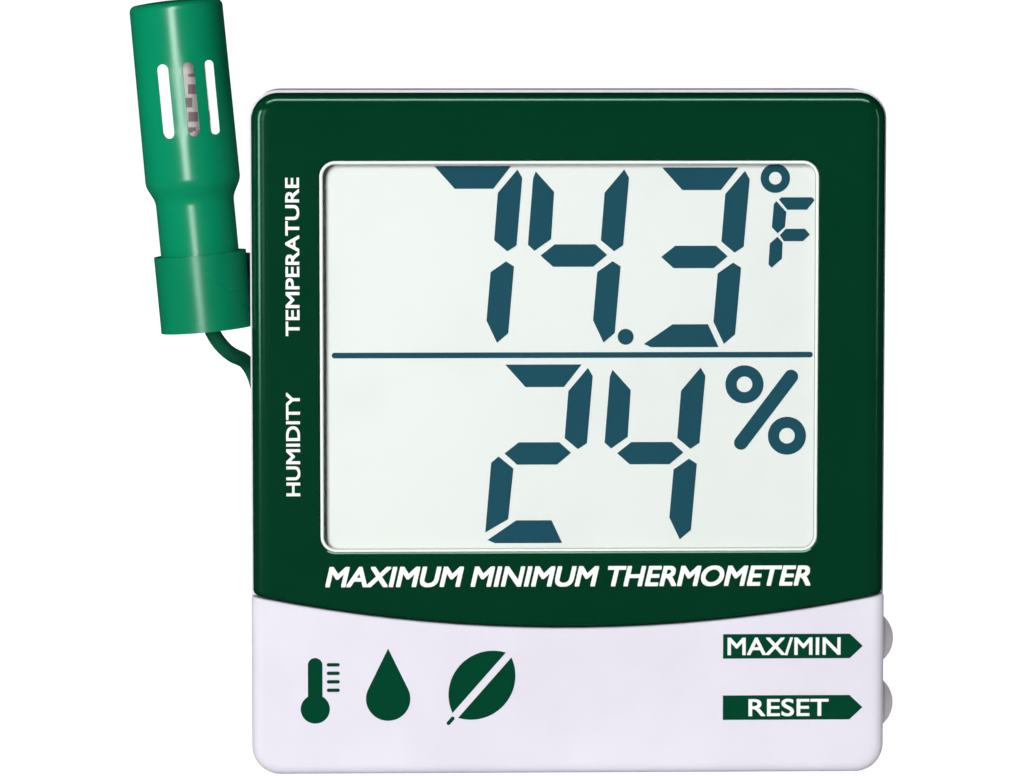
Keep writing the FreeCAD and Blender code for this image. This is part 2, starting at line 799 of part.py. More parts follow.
def make_main_board():
    """Printed circuit board with a leg that carries the lower push switch."""
    piece = Piece("main_board")
    half = s.frame_half_width
    leg = half - s.board_leg_width
    piece.pad("Y", board_front, board_back,
              outline([(-half, s.board_low), (leg, s.board_low), (leg, s.board_leg_low), (half, s.board_leg_low),
                       (half, s.board_high), (-half, s.board_high)]))
    for x in both(s.board_screw_x):
        for z in (s.board_screw_low, s.board_screw_high):
            piece.pocket("Y", board_front - 1, board_back + 1, circle(x, z, s.board_screw_radius + 0.3))
    return piece.body


def make_screw(name, x, z, seat_y, radius, head, head_height, length):
    """Pan-head screw along Y, its head behind the seat and its shank in front of it."""
    shank = rod(f"{name}_shank", "Y", (seat_y - length, seat_y + 0.2), (x, z), radius)
    cap = rod(f"{name}_head", "Y", (seat_y, seat_y + head_height), (x, z), head)
    recess_half = head / 2
    recess_y = (seat_y + head_height / 2, seat_y + head_height + 1)
    across = block(f"{name}_recess_a", around(x, recess_half), recess_y, around(z, radius / 4))
    along = block(f"{name}_recess_b", around(x, radius / 4), recess_y, around(z, recess_half))
    return cut(name, fused(f"{name}_blank", [shank, cap]), [across, along])


def make_chips():
    """Chip resistors and capacitors in two rows beside the controller."""
    chips = []
    for row, z in enumerate((s.blob_z - 12, s.blob_z + 12)):
        for column in range(5):
            x = s.blob_x - 10 + 5 * column
            chips.append(block(f"chip_{row}_{column}", around(x, s.chip_length / 2),
                               (board_back, board_back + s.chip_height), around(z, s.chip_width / 2)))
    return group("board_components", chips)


def make_blob():
    """Domed drop of epoxy over the controller die."""
    piece = Piece("controller_blob")
    radius = (s.blob_radius * s.blob_radius + s.blob_height * s.blob_height) / (2 * s.blob_height)
    piece.revolve("Y", "V_Axis",
                  outline([(Size(0), Size(0)), (s.blob_radius, Size(0)), (Size(0), s.blob_height)],
                          {1: ((Size(0), s.blob_height - radius), True)}))
    piece.body.Placement = Placement(Vector(), AXIS_TURNS["Y"])
    place(piece.body, s.blob_x, board_back, s.blob_z)
    return piece.body


keep("lcd_front_polariser", block("lcd_front_polariser", film_x, (film_front, front_glass_y), film_z))
keep("lcd_front_glass", block("lcd_front_glass", glass_x, (front_glass_y, rear_glass_y), front_glass_z))
keep("lcd_rear_glass", block("lcd_rear_glass", glass_x, (rear_glass_y, reflector_y), rear_glass_z))
keep("lcd_reflector", block("lcd_reflector", film_x, (reflector_y, cushion_y), film_z))
keep("lcd_cushion", block("lcd_cushion", film_x, (cushion_y, board_front), film_z))
keep("lcd_frame", make_frame())
strips = [
    block("zebra_strip_low", both(s.strip_half_width), (rear_glass_y, board_front),
          (s.glass_low, s.glass_low + s.strip_height)),
    block("zebra_strip_high", both(s.strip_half_width), (rear_glass_y, board_front),
          (s.glass_high - s.strip_height, s.glass_high)),
]
keep("zebra_strips", group("zebra_strips", strips))
keep("main_board", make_main_board())
keep("controller_blob", make_blob())
keep("board_components", make_chips())
keep("crystal", rod("crystal", "X", (s.blob_x + 14, s.blob_x + 14 + s.crystal_length),
                    (board_back + s.crystal_radius, s.blob_z), s.crystal_radius))
keep("probe_connector", block("probe_connector", around(s.connector_x, s.connector_width / 2),
                              (board_back, board_back + s.connector_height),
                              around(s.connector_z, s.connector_depth / 2)))
tact_x = (s.frame_half_width - s.tact_inset + 0.6, s.frame_half_width - s.tact_inset + 0.6 + s.tact_width)
tacts = [block(f"tactile_switch_{number}", tact_x, (board_back, board_back + s.tact_height),
               around(z, s.tact_length / 2)) for number, z in enumerate((s.maxmin_z, s.reset_z))]
keep("tactile_switches", group("tactile_switches", tacts))
board_screws = [make_screw(f"board_screw_{i}_{j}", x, z, board_back, s.board_screw_radius,
                           s.board_screw_head, s.board_thickness, Size(2.6))
                for i, x in enumerate(both(s.board_screw_x))
                for j, z in enumerate((s.board_screw_low, s.board_screw_high))]
keep("board_screws", group("board_screws", board_screws))
case_screws = [make_screw(f"case_screw_{i}", x, s.screw_z, s.counterbore_y, s.screw_radius,
                          s.screw_head, s.screw_head_height, s.screw_length)
               for i, x in enumerate(both(s.screw_x))]
keep("case_screws", group("case_screws", case_screws))


# ---------------------------------------------------------------------------------------------
# Buttons and unit switch
# ---------------------------------------------------------------------------------------------

def make_button(name, z):
    """Domed push button with a flange that stops behind the case wall and a stem to its switch."""
    piece = Piece(name)
    rim = s.button_proud - s.button_dome
    dome = (s.button_radius * s.button_radius + s.button_dome * s.button_dome) / (2 * s.button_dome)
    flange_out = -s.wall - 0.1
    flange_in = flange_out - s.button_flange_thickness
    stem_end = tact_x[1] + s.button_gap - side
    piece.revolve("Y", "H_Axis",
                  outline([(stem_end, Size(0)), (s.button_proud, Size(0)), (rim, s.button_radius),
                           (flange_out, s.button_radius), (flange_out, s.button_flange),
                           (flange_in, s.button_flange), (flange_in, s.button_stem), (stem_end, s.button_stem)],
                          {1: ((s.button_proud - dome, Size(0)), True)}))
    place(piece.body, side, s.button_y, z)
    return piece.body


def make_unit_switch():
    """Slider with a thumb ridge in the back's slot and a stem down to the switch on the board."""
    piece = Piece("unit_switch_knob")
    plate = (back_wall_y - 0.1 - s.slider_thickness, back_wall_y - 0.1)
    piece.pad("Y", plate[0], plate[1],
              rectangle(around(s.switch_x, s.slider_half_width), around(s.switch_z, s.slider_half_height)))
    piece.pad("Y", plate[0] + 0.5, s.knob_proud_y,
              rectangle(around(s.switch_x, s.knob_half_width), around(s.switch_z, s.knob_half_height)))
    piece.pad("Y", board_back + s.switch_body_height + 0.1, plate[0] + 0.5,
              rectangle(around(s.switch_x, s.slider_stem), around(s.switch_z, s.slider_stem)))
    return piece.body


keep("maxmin_button", make_button("maxmin_button", s.maxmin_z))
keep("reset_button", make_button("reset_button", s.reset_z))
keep("unit_switch_knob", make_unit_switch())
keep("unit_switch_body", block("unit_switch_body",
                               around(s.switch_x + s.switch_travel / 2, s.switch_body_half_width),
                               (board_back, board_back + s.switch_body_height),
                               around(s.switch_z, s.switch_body_half_height)))


# ---------------------------------------------------------------------------------------------
# Stand, battery and magnets
# ---------------------------------------------------------------------------------------------

def make_stand():
    """Swing-out stand with two pivot stubs and a heel that stops it at its open angle."""
    piece = Piece("tilt_stand")
    half_thick = s.stand_thickness / 2
    y0, y1 = around(s.stand_pivot_y, half_thick)
    top = s.stand_pivot_z + s.stand_heel
    piece.pad("X", -s.stand_half_width, s.stand_half_width,
              outline([(y0, s.stand_foot_z), (y1, s.stand_foot_z), (y1, top), (y0, top)]))
    piece.fillet(s.edge_break, lambda box: at_y(box, y1) and box.ZMax < top.value - 0.1)
    inner = s.stand_half_width - s.stand_panel_margin
    piece.pocket("Y", y1 - s.stand_panel_depth, y1 + 1,
                 rounded(both(inner), (s.stand_foot_z + 2 * s.stand_panel_margin,
                                       s.stand_pivot_z - 2 * s.stand_panel_margin), s.wall))
    piece.pad("X", -s.stand_half_width - s.stand_pin_length, -s.stand_half_width + 1,
              circle(s.stand_pivot_y, s.stand_pivot_z, s.stand_pin))
    piece.pad("X", s.stand_half_width - 1, s.stand_half_width + s.stand_pin_length,
              circle(s.stand_pivot_y, s.stand_pivot_z, s.stand_pin))
    return piece.body


def make_door():
    """Battery door that hinges on two stubs at its lower edge."""
    piece = Piece("battery_door")
    half_thick = s.door_thickness / 2
    y0, y1 = s.door_y, s.door_y + s.door_thickness
    axis_y, axis_z = y0 + half_thick, s.door_low + half_thick
    piece.pad("X", -s.door_half_width, s.door_half_width,
              outline([(y0, axis_z), (y1, axis_z), (y1, s.door_high), (y0, s.door_high)],
                      {0: ((axis_y, axis_z), True)}))
    for ends in ((-s.door_half_width - s.door_pin_length, -s.door_half_width + 1),
                 (s.door_half_width - 1, s.door_half_width + s.door_pin_length)):
        piece.pad("X", ends[0], ends[1], circle(axis_y, axis_z, s.door_pin))
    scoop = s.door_high - 5
    piece.pocket("Y", y1 - 0.6, y1 + 1, rounded(both(Size(5.0)), (scoop, scoop + 3), Size(1.4)))
    return piece.body


battery_z = (s.bay_low + s.bay_high) / 2


def make_battery():
    """Size AAA cell lying across the bay, its nub to the right."""
    nub_end = s.contact_end
    can_end = nub_end - s.battery_nub
    can = rod("battery_can", "X", (can_end - s.battery_length, can_end), (s.battery_y, battery_z),
              s.battery_radius)
    nub = rod("battery_nub", "X", (can_end - 0.5, nub_end), (s.battery_y, battery_z), s.battery_nub_radius)
    return fused("battery", [can, nub])


def make_contact(name, x):
    """Sprung-steel contact plate with a tail through the bay floor to the board."""
    half = s.contact_thickness / 2
    plate = block(f"{name}_plate", around(x, half), (s.bay_floor_y, s.battery_y + s.contact_half_height),
                  around(battery_z, s.contact_half_height))
    tail = block(f"{name}_tail", around(x, half), (board_back, s.bay_floor_y + 0.5),
                 around(battery_z, Size(1.0)))
    return fused(name, [plate, tail])


def make_battery_spring():
    """Conical coil spring between the negative contact and the cell."""
    start = -s.contact_end.value
    free = (s.contact_end - s.battery_nub - s.battery_length).value - start
    wire = s.spring_wire.value
    turns = s.spring_turns.value
    wide, narrow = s.spring_wide.value, s.spring_narrow.value
    length = free - 2 * wire - 0.02
    points = []
    steps = int(16 * turns)
    for number in range(steps + 1):
        part = number / steps
        angle = 2 * math.pi * turns * part
        radius = wide + (narrow - wide) * part
        points.append(Vector(length * part, radius * math.cos(angle), radius * math.sin(angle)))
    path = Part.BSplineCurve()
    path.interpolate(points)
    profile = Part.Wire(Part.Circle(points[0], path.tangent(path.FirstParameter)[0], wire).toShape())
    spring = doc.addObject("Part::Feature", "battery_spring")
    spring.Shape = Part.Wire(path.toShape()).makePipeShell([profile], True, False)
    spring.Placement = Placement(Vector(start + wire + 0.01, s.battery_y.value, battery_z.value), Rotation())
    return spring


keep("tilt_stand", make_stand())
keep("battery_door", make_door())
keep("battery", make_battery())
contact_x = s.contact_end + s.contact_thickness / 2
keep("battery_contacts", group("battery_contacts", [make_contact("contact_negative", -contact_x),
                                                    make_contact("contact_positive", contact_x)]))
keep("battery_spring", make_battery_spring())
magnets = [rod(f"magnet_{i}", "Y", (rear - s.magnet_thickness - 0.05, rear - 0.05), (x, s.magnet_z),
               s.magnet_radius) for i, x in enumerate(both(s.magnet_x))]
keep("magnets", group("magnets", magnets))


# ---------------------------------------------------------------------------------------------
# Probe and its holder
# ---------------------------------------------------------------------------------------------

def leaning_block(name, x, y, z):
    """A box given in the leaning cup's own frame."""
    piece = Piece(name)
    piece.pad("Y", y[0], y[1], rectangle(x, z))
    return lean(piece.body)


def leaning_rod(name, span, radius, x=0, y=0):
    """A cylinder given in the leaning cup's own frame, along its axis over the span."""
    piece = Piece(name)
    piece.pad("Z", span[0], span[1], circle(x, y, radius))
    return lean(piece.body)


def make_holder():
    """Open-backed cup that leans outward, with an arm whose foot is trapped inside the case."""
    cup = leaning_rod("holder_cup", (Size(0), s.cup_height), s.cup_radius)
    arm = block("holder_arm", (s.holder_x + 2, -inner_side + 0.1), (s.arm_front_y, s.arm_back_y),
                (s.arm_low, s.arm_high))
    foot = block("holder_foot", (-inner_side + 0.05, -inner_side + 0.05 + s.foot_thickness),
                 (s.parting_y + 0.1, back_wall_y - 0.1), (s.arm_low - s.foot_extra, s.arm_high + s.foot_extra))
    solid = fused("holder_blank", [cup, arm, foot])
    bore = leaning_rod("holder_bore", (s.cup_ledge_high, s.cup_height + 5), s.cup_bore)
    skirt = leaning_rod("holder_skirt", (Size(-5), s.cup_ledge_low), s.cup_bore)
    hole = leaning_rod("holder_hole", (Size(0), s.cup_height), s.cup_ledge_bore)
    slot = leaning_block("holder_slot", both(s.cup_slot_half_width), (Size(0), s.cup_radius + 3),
                         (Size(-1), s.cup_height + 1))
    beside = block("holder_beside", (-side - 0.05, -side + 5), (-s.cup_radius - 1, s.arm_front_y - 0.1),
                   (s.arm_low - 5, s.arm_high + 5))
    return cut("probe_holder", solid, [bore, skirt, hole, slot, beside])


def make_probe_shell():
    """Slotted tube with a closed crowned top, a wide upper part and a narrower neck."""
    piece = Piece("probe_shell")
    wall = s.probe_wall
    inner_top_z = s.probe_top - s.probe_cap
    rim_z = s.probe_top - s.probe_crown
    top_radius, crown = s.probe_top_radius, s.probe_crown
    crown_radius = (top_radius * top_radius + crown * crown) / (crown * 2)
    profile = [
        (s.probe_neck_radius - wall, s.cup_ledge_high),
        (s.probe_neck_radius, s.cup_ledge_high),
        (s.probe_neck_radius, s.shoulder_low),
        (s.probe_wide_radius, s.shoulder_high),
        (top_radius, rim_z),
        (Size(0), s.probe_top),
        (Size(0), inner_top_z),
        (top_radius - wall, inner_top_z),
        (s.probe_wide_radius - wall, s.shoulder_high),
        (s.probe_neck_radius - wall, s.shoulder_low),
    ]
    piece.revolve("Y", "V_Axis", outline(profile, {4: ((Size(0), s.probe_top - crown_radius), True)}))
    piece.fillet(s.probe_round, lambda box: max(abs(z - rim_z.value) for z in (box.ZMin, box.ZMax)) < 0.01)
    for radius, z in ((s.probe_neck_radius, s.shoulder_low), (s.probe_wide_radius, s.shoulder_high)):
        piece.fillet(s.shoulder_round, lambda box: box.XLength > 2 * radius.value - 0.02
                     and abs(box.ZMin - z.value) < 0.01 and abs(box.ZMax - z.value) < 0.01)
    middle = s.probe_top - s.slot_below_top
    slots = [
        (s.slot_left_x, s.slot_width),
        (s.slot_middle_x, s.slot_width),
        (s.slot_right_x, s.slot_right_width),
    ]
    reach = s.probe_wide_radius + 1
    for x, width in slots:
        for ends, extra in (((-reach, Size(0)), 0), ((Size(0), reach), s.slot_rear_extra)):
            half = (width + extra) / 2
            straight = (s.slot_length + extra) / 2 - half
            low, high = middle - straight, middle + straight
            piece.pocket("Y", ends[0], ends[1],
                         outline([(x - half, high), (x - half, low), (x + half, low), (x + half, high)],
                                 {1: ((x, low), True), 3: ((x, high), True)}))
    return lean(piece.body)


def make_probe_plug():
    """Bottom plug with a flared mouth so that the cable can turn as it leaves."""
    piece = Piece("probe_plug")
    radius = s.probe_neck_radius - s.probe_wall - s.plug_clearance
    low, high = s.cup_ledge_high, s.plug_high
    piece.revolve("Y", "V_Axis",
                  outline([(s.mouth_radius, low), (radius, low), (radius, high), (s.cable_radius, high),
                           (s.cable_radius, s.bushing_high), (s.bushing_radius, s.bushing_high),
                           (s.bushing_radius, s.bushing_low)]))
    return lean(piece.body)


def make_bushing():
    """Soft bushing that grips the cable inside the plug."""
    outer = leaning_rod("bushing_outer", (s.bushing_low, s.bushing_high), s.bushing_radius)
    bore = leaning_rod("bushing_bore", (s.bushing_low - 1, s.bushing_high + 1), s.cable_radius)
    return cut("cable_strain_relief", outer, [bore])


board_half = s.sensor_board_thickness / 2
sensor_front = -board_half - s.humidity_height

keep("probe_holder", make_holder())
keep("probe_shell", make_probe_shell())
keep("probe_plug", make_probe_plug())
keep("cable_strain_relief", make_bushing())
keep("probe_lead", leaning_rod("probe_lead", (s.bushing_low, s.sensor_board_low), s.cable_radius))
keep("sensor_board", leaning_block("sensor_board", around(s.sensor_board_x, s.sensor_board_half_width),
                                   both(board_half), (s.sensor_board_low, s.sensor_board_high)))
keep("humidity_sensor", leaning_block("humidity_sensor", around(s.sensor_board_x, s.humidity_half_width),
                                      (sensor_front, -board_half), (s.humidity_low, s.humidity_high)))
keep("temperature_sensor", leaning_rod("temperature_sensor", (s.sensor_board_high - 3, s.sensor_board_high - 0.5),
                                       s.bead_radius, s.sensor_board_x, -board_half - s.bead_radius))


# ---------------------------------------------------------------------------------------------
# Cable: out of the probe, behind the case, wound into a coil on the table and in at the grommet
# ---------------------------------------------------------------------------------------------

lean_angle = math.radians(s.holder_lean.value)
probe_axis = Vector(-math.sin(lean_angle), 0, math.cos(lean_angle))
holder_base = Vector(s.holder_x.value, 0, s.holder_z.value)
CABLE_EXIT = holder_base + probe_axis * s.bushing_low.value

UPPER_ROUTE = [
    CABLE_EXIT,
    Vector(-57.28, 0.0, 72.4),
    Vector(-56.1, 1.55, 68.75),
    Vector(-53.7, 5.4, 65.5),
    Vector(-50.9, 12.6, 63.9),
    Vector(-49.2, 16.4, 58.6),
    Vector(-48.4, 16.0, 50.0),
    Vector(-48.6, 14.9, 38.0),
    Vector(-48.2, 15.0, 24.0),
    Vector(-47.4, 15.4, 11.0),
    Vector(-47.2, 19.0, 3.2),
    Vector(-47.2, 26.0, 1.2),
]
LOWER_ROUTE = [
    Vector(-20.4, 26.0, 6.0),
    Vector(-20.5, 21.0, 6.4),
    Vector(-20.4, 15.6, 8.0),
    Vector(-20.4, 10.0, 8.0),
]
INSIDE_ROUTE = [
    Vector(-20.4, 10.0, 8.0),
    Vector(-20.4, 2.0, 8.0),
    Vector(-27.0, 0.2, 14.0),
    Vector(-34.0, -1.3, 18.5),
    Vector(-34.0, -1.3, 24.5),
]


def tube(name, route, radius):
    """Round tube of straight runs joined by tangent arcs, each as large as its two runs allow."""
    edges = []
    length = 0.0
    start = route[0]
    for before, corner, after in zip(route, route[1:], route[2:]):
        incoming, outgoing = (corner - before), (after - corner)
        half_turn = incoming.getAngle(outgoing) / 2
        reach = 0.45 * min(incoming.Length, outgoing.Length)
        bend = reach / math.tan(half_turn)
        print(f"{name}: bend radius {bend:.1f} mm, turn {math.degrees(2 * half_turn):.0f} degrees")
        incoming.normalize()
        outgoing.normalize()
        first = corner - incoming * reach
        last = corner + outgoing * reach
        inward = outgoing - incoming
        inward.normalize()
        middle = corner + inward * (bend / math.cos(half_turn) - bend)
        edges.append(Part.LineSegment(start, first).toShape())
        edges.append(Part.Arc(first, middle, last).toShape())
        length += (first - start).Length + 2 * half_turn * bend
        start = last
    edges.append(Part.LineSegment(start, route[-1]).toShape())
    length += (route[-1] - start).Length
    section = Part.Circle(route[0], route[1] - route[0], radius).toShape()
    solid = Part.Wire(edges).makePipeShell([Part.Wire(section)], True, False)
    expected = math.pi * radius ** 2 * length
    print(f"{name}: length {length:.1f} mm, volume {solid.Volume:.1f} of {expected:.1f} mm3")
    if abs(solid.Volume - expected) > 0.02 * expected:
        raise RuntimeError(f"{name} has the wrong volume")
    feature = doc.addObject("Part::Feature", name)
    feature.Shape = solid
    return feature


def make_grommet():
    """Rubber grommet in the back wall, turned about the cable."""
    piece = Piece("cable_grommet")
    depth = s.grommet_flange_thickness
    waist = s.grommet_hole - 0.05
    bore = s.cable_radius + 0.02
    outer_face = Size(0)
    piece.revolve("Y", "V_Axis",
                  outline([(bore, -s.wall - depth - 0.05), (s.grommet_lip, -s.wall - depth - 0.05),
                           (s.grommet_lip, -s.wall - 0.05), (waist, -s.wall - 0.05), (waist, -depth + 0.05),
                           (s.grommet_flange, -depth + 0.05), (s.grommet_flange, outer_face),
                           (bore, outer_face)]))
    piece.body.Placement = Placement(Vector(), AXIS_TURNS["Y"])
    place(piece.body, s.grommet_x, rear, s.grommet_z)
    return piece.body


def make_coil():
    """The space that the wound cable fills: a ring on the table."""
    height = s.coil_layers * s.cable_radius * 2
    outer = rod("coil_outer", "Z", (Size(0), height), (s.coil_x, s.coil_y), s.coil_outer_turn + s.cable_radius)
    inner = rod("coil_inner", "Z", (Size(-1), height + 1), (s.coil_x, s.coil_y),
                s.coil_inner_turn - s.cable_radius)
    return cut("cable_coil", outer, [inner])


keep("cable_grommet", make_grommet())
keep("cable_upper", tube("cable_upper", UPPER_ROUTE, s.cable_radius.value))
keep("cable_coil", make_coil())
keep("cable_lower", tube("cable_lower", LOWER_ROUTE, s.cable_radius.value))
keep("cable_inside", tube("cable_inside", INSIDE_ROUTE, s.cable_radius.value))


# ---------------------------------------------------------------------------------------------
# Checks and export
# ---------------------------------------------------------------------------------------------

doc.recompute()
failed = [item.Name for item in doc.Objects if {"Invalid", "Error"} & set(item.State)]
if failed:
    raise RuntimeError(f"objects failed: {failed}")

os.makedirs("parts", exist_ok=True)
for name, item in nodes.items():
    shape = item.Shape
    if shape.isNull() or not shape.isValid():
        raise RuntimeError(f"{name} has no valid shape")
    if not shape.Solids:
        raise RuntimeError(f"{name} has no solid")
    shape.exportStep(f"parts/{name}.step")
print(f"{len(nodes)} sub-parts written")
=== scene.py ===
"""Looks of a large-digit maximum minimum thermometer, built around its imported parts.

Lengths in this file are millimetres until mm() turns them into metres. X runs to the right of the
front, Y away from the viewer and Z up.
"""

from __future__ import annotations

import json
import logging
import math
from dataclasses import dataclass
from enum import Enum
from typing import Callable, Iterable, Sequence

import bmesh
import bpy
from mathutils import Matrix, Vector

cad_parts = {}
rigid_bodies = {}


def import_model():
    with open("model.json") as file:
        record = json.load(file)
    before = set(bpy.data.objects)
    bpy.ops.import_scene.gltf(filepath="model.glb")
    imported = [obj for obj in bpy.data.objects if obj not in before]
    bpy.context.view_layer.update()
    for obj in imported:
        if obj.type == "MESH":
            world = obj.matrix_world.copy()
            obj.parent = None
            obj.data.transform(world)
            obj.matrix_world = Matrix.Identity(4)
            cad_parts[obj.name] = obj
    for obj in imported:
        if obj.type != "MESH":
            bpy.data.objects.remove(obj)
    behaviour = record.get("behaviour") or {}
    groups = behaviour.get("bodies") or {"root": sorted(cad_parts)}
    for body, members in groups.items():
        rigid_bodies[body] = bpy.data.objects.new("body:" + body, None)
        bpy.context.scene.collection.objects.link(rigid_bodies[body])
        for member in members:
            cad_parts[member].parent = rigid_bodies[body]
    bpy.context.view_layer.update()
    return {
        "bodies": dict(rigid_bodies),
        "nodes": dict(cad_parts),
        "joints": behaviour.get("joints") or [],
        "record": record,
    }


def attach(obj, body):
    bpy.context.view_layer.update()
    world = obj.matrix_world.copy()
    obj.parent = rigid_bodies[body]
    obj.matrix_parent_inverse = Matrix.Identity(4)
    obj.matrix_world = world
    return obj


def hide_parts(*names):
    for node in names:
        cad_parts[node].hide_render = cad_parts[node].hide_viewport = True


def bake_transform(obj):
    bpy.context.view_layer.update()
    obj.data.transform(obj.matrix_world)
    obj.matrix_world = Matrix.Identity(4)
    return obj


LOG = logging.getLogger("thermometer")
CORNER_STEPS = 10

Colour = tuple[float, float, float]
Point = tuple[float, float]


def mm(value: float) -> float:
    """Metres from millimetres."""
    return value / 1000.0


def srgb(red: int, green: int, blue: int) -> Colour:
    """Turn a colour given as three display values from 0 to 255 into linear light.

    Args:
        red: Red display value.
        green: Green display value.
        blue: Blue display value.

    Returns:
        The same colour as linear values from 0 to 1.
    """
    linear = []
    for value in (red, green, blue):
        share = value / 255
        linear.append(share / 12.92 if share <= 0.04045 else ((share + 0.055) / 1.055) ** 2.4)
    return linear[0], linear[1], linear[2]


# ---------------------------------------------------------------------------------------------
# Node trees
# ---------------------------------------------------------------------------------------------


class NodeSheet:
    """A node tree with short ways to add, set and join its nodes."""

    def __init__(self, tree: bpy.types.NodeTree) -> None:
        """Keep the tree that the nodes go into."""
        self.tree = tree

    def add(self, kind: str, settings: dict | None = None, **inputs: object) -> bpy.types.Node:
        """Add a node.

        Args:
            kind: Node type without its ShaderNode prefix, or a full type name.
            settings: Properties to set on the node itself.
            inputs: Socket values or source sockets, by socket name with spaces as underscores.

        Returns:
            The new node.
        """
        full = kind if kind.startswith("Node") else f"ShaderNode{kind}"
        node = self.tree.nodes.new(full)
        for name, value in (settings or {}).items():
            setattr(node, name, value)
        for name, value in inputs.items():
            self.feed(node.inputs[name.replace("_", " ")], value)
        return node

    def feed(self, socket: bpy.types.NodeSocket, value: object) -> None:
        """Join a socket to a source, or set its own value.

        Args:
            socket: Input socket to feed.
            value: Output socket, number, colour or vector.
        """
        if isinstance(value, bpy.types.NodeSocket):
            self.tree.links.new(value, socket)
        elif socket.type == "RGBA":
            socket.default_value = (*value, 1.0)
        else:
            socket.default_value = value

    def blend(
        self, factor: object, first: object, second: object, mode: str = "MIX"
    ) -> bpy.types.NodeSocket:
        """Mix two colours and return the result's socket.

        Args:
            factor: Share of the second colour.
            first: Colour at factor 0.
            second: Colour at factor 1.
            mode: Blend mode.

        Returns:
            Output socket of the mix.
        """
        node = self.add("Mix", {"data_type": "RGBA", "blend_type": mode})
        self.feed(node.inputs[0], factor)
        self.feed(node.inputs[6], first)
        self.feed(node.inputs[7], second)
        return node.outputs[2]

    def sum(self, operation: str, first: object, second: object = 0.0) -> bpy.types.NodeSocket:
        """Do arithmetic on one or two numbers and return the result's socket.

        Args:
            operation: Name of the math operation.
            first: First number.
            second: Second number.

        Returns:
            Output socket of the math node.
        """
        node = self.add("Math", {"operation": operation})
        self.feed(node.inputs[0], first)
        self.feed(node.inputs[1], second)
        return node.outputs[0]

    def span(
        self, value: object, low: float, high: float, start: object, end: object
    ) -> bpy.types.NodeSocket:
        """Map a number from one range to another and return the result's socket.

        Args:
            value: Number to map.
            low: Start of the source range.
            high: End of the source range.
            start: Result at low.
            end: Result at high.

        Returns:
            Output socket of the mapping.
        """
        ends = {"From_Min": low, "From_Max": high, "To_Min": start, "To_Max": end}
        return self.add("MapRange", None, Value=value, **ends).outputs[0]


class Effect(Enum):
    """Shader node groups that several finishes share."""

    GRAIN = "moulded_grain"
    DRIFT = "colour_drift"
    SHEEN = "handled_sheen"
    HAIRLINES = "polish_hairlines"


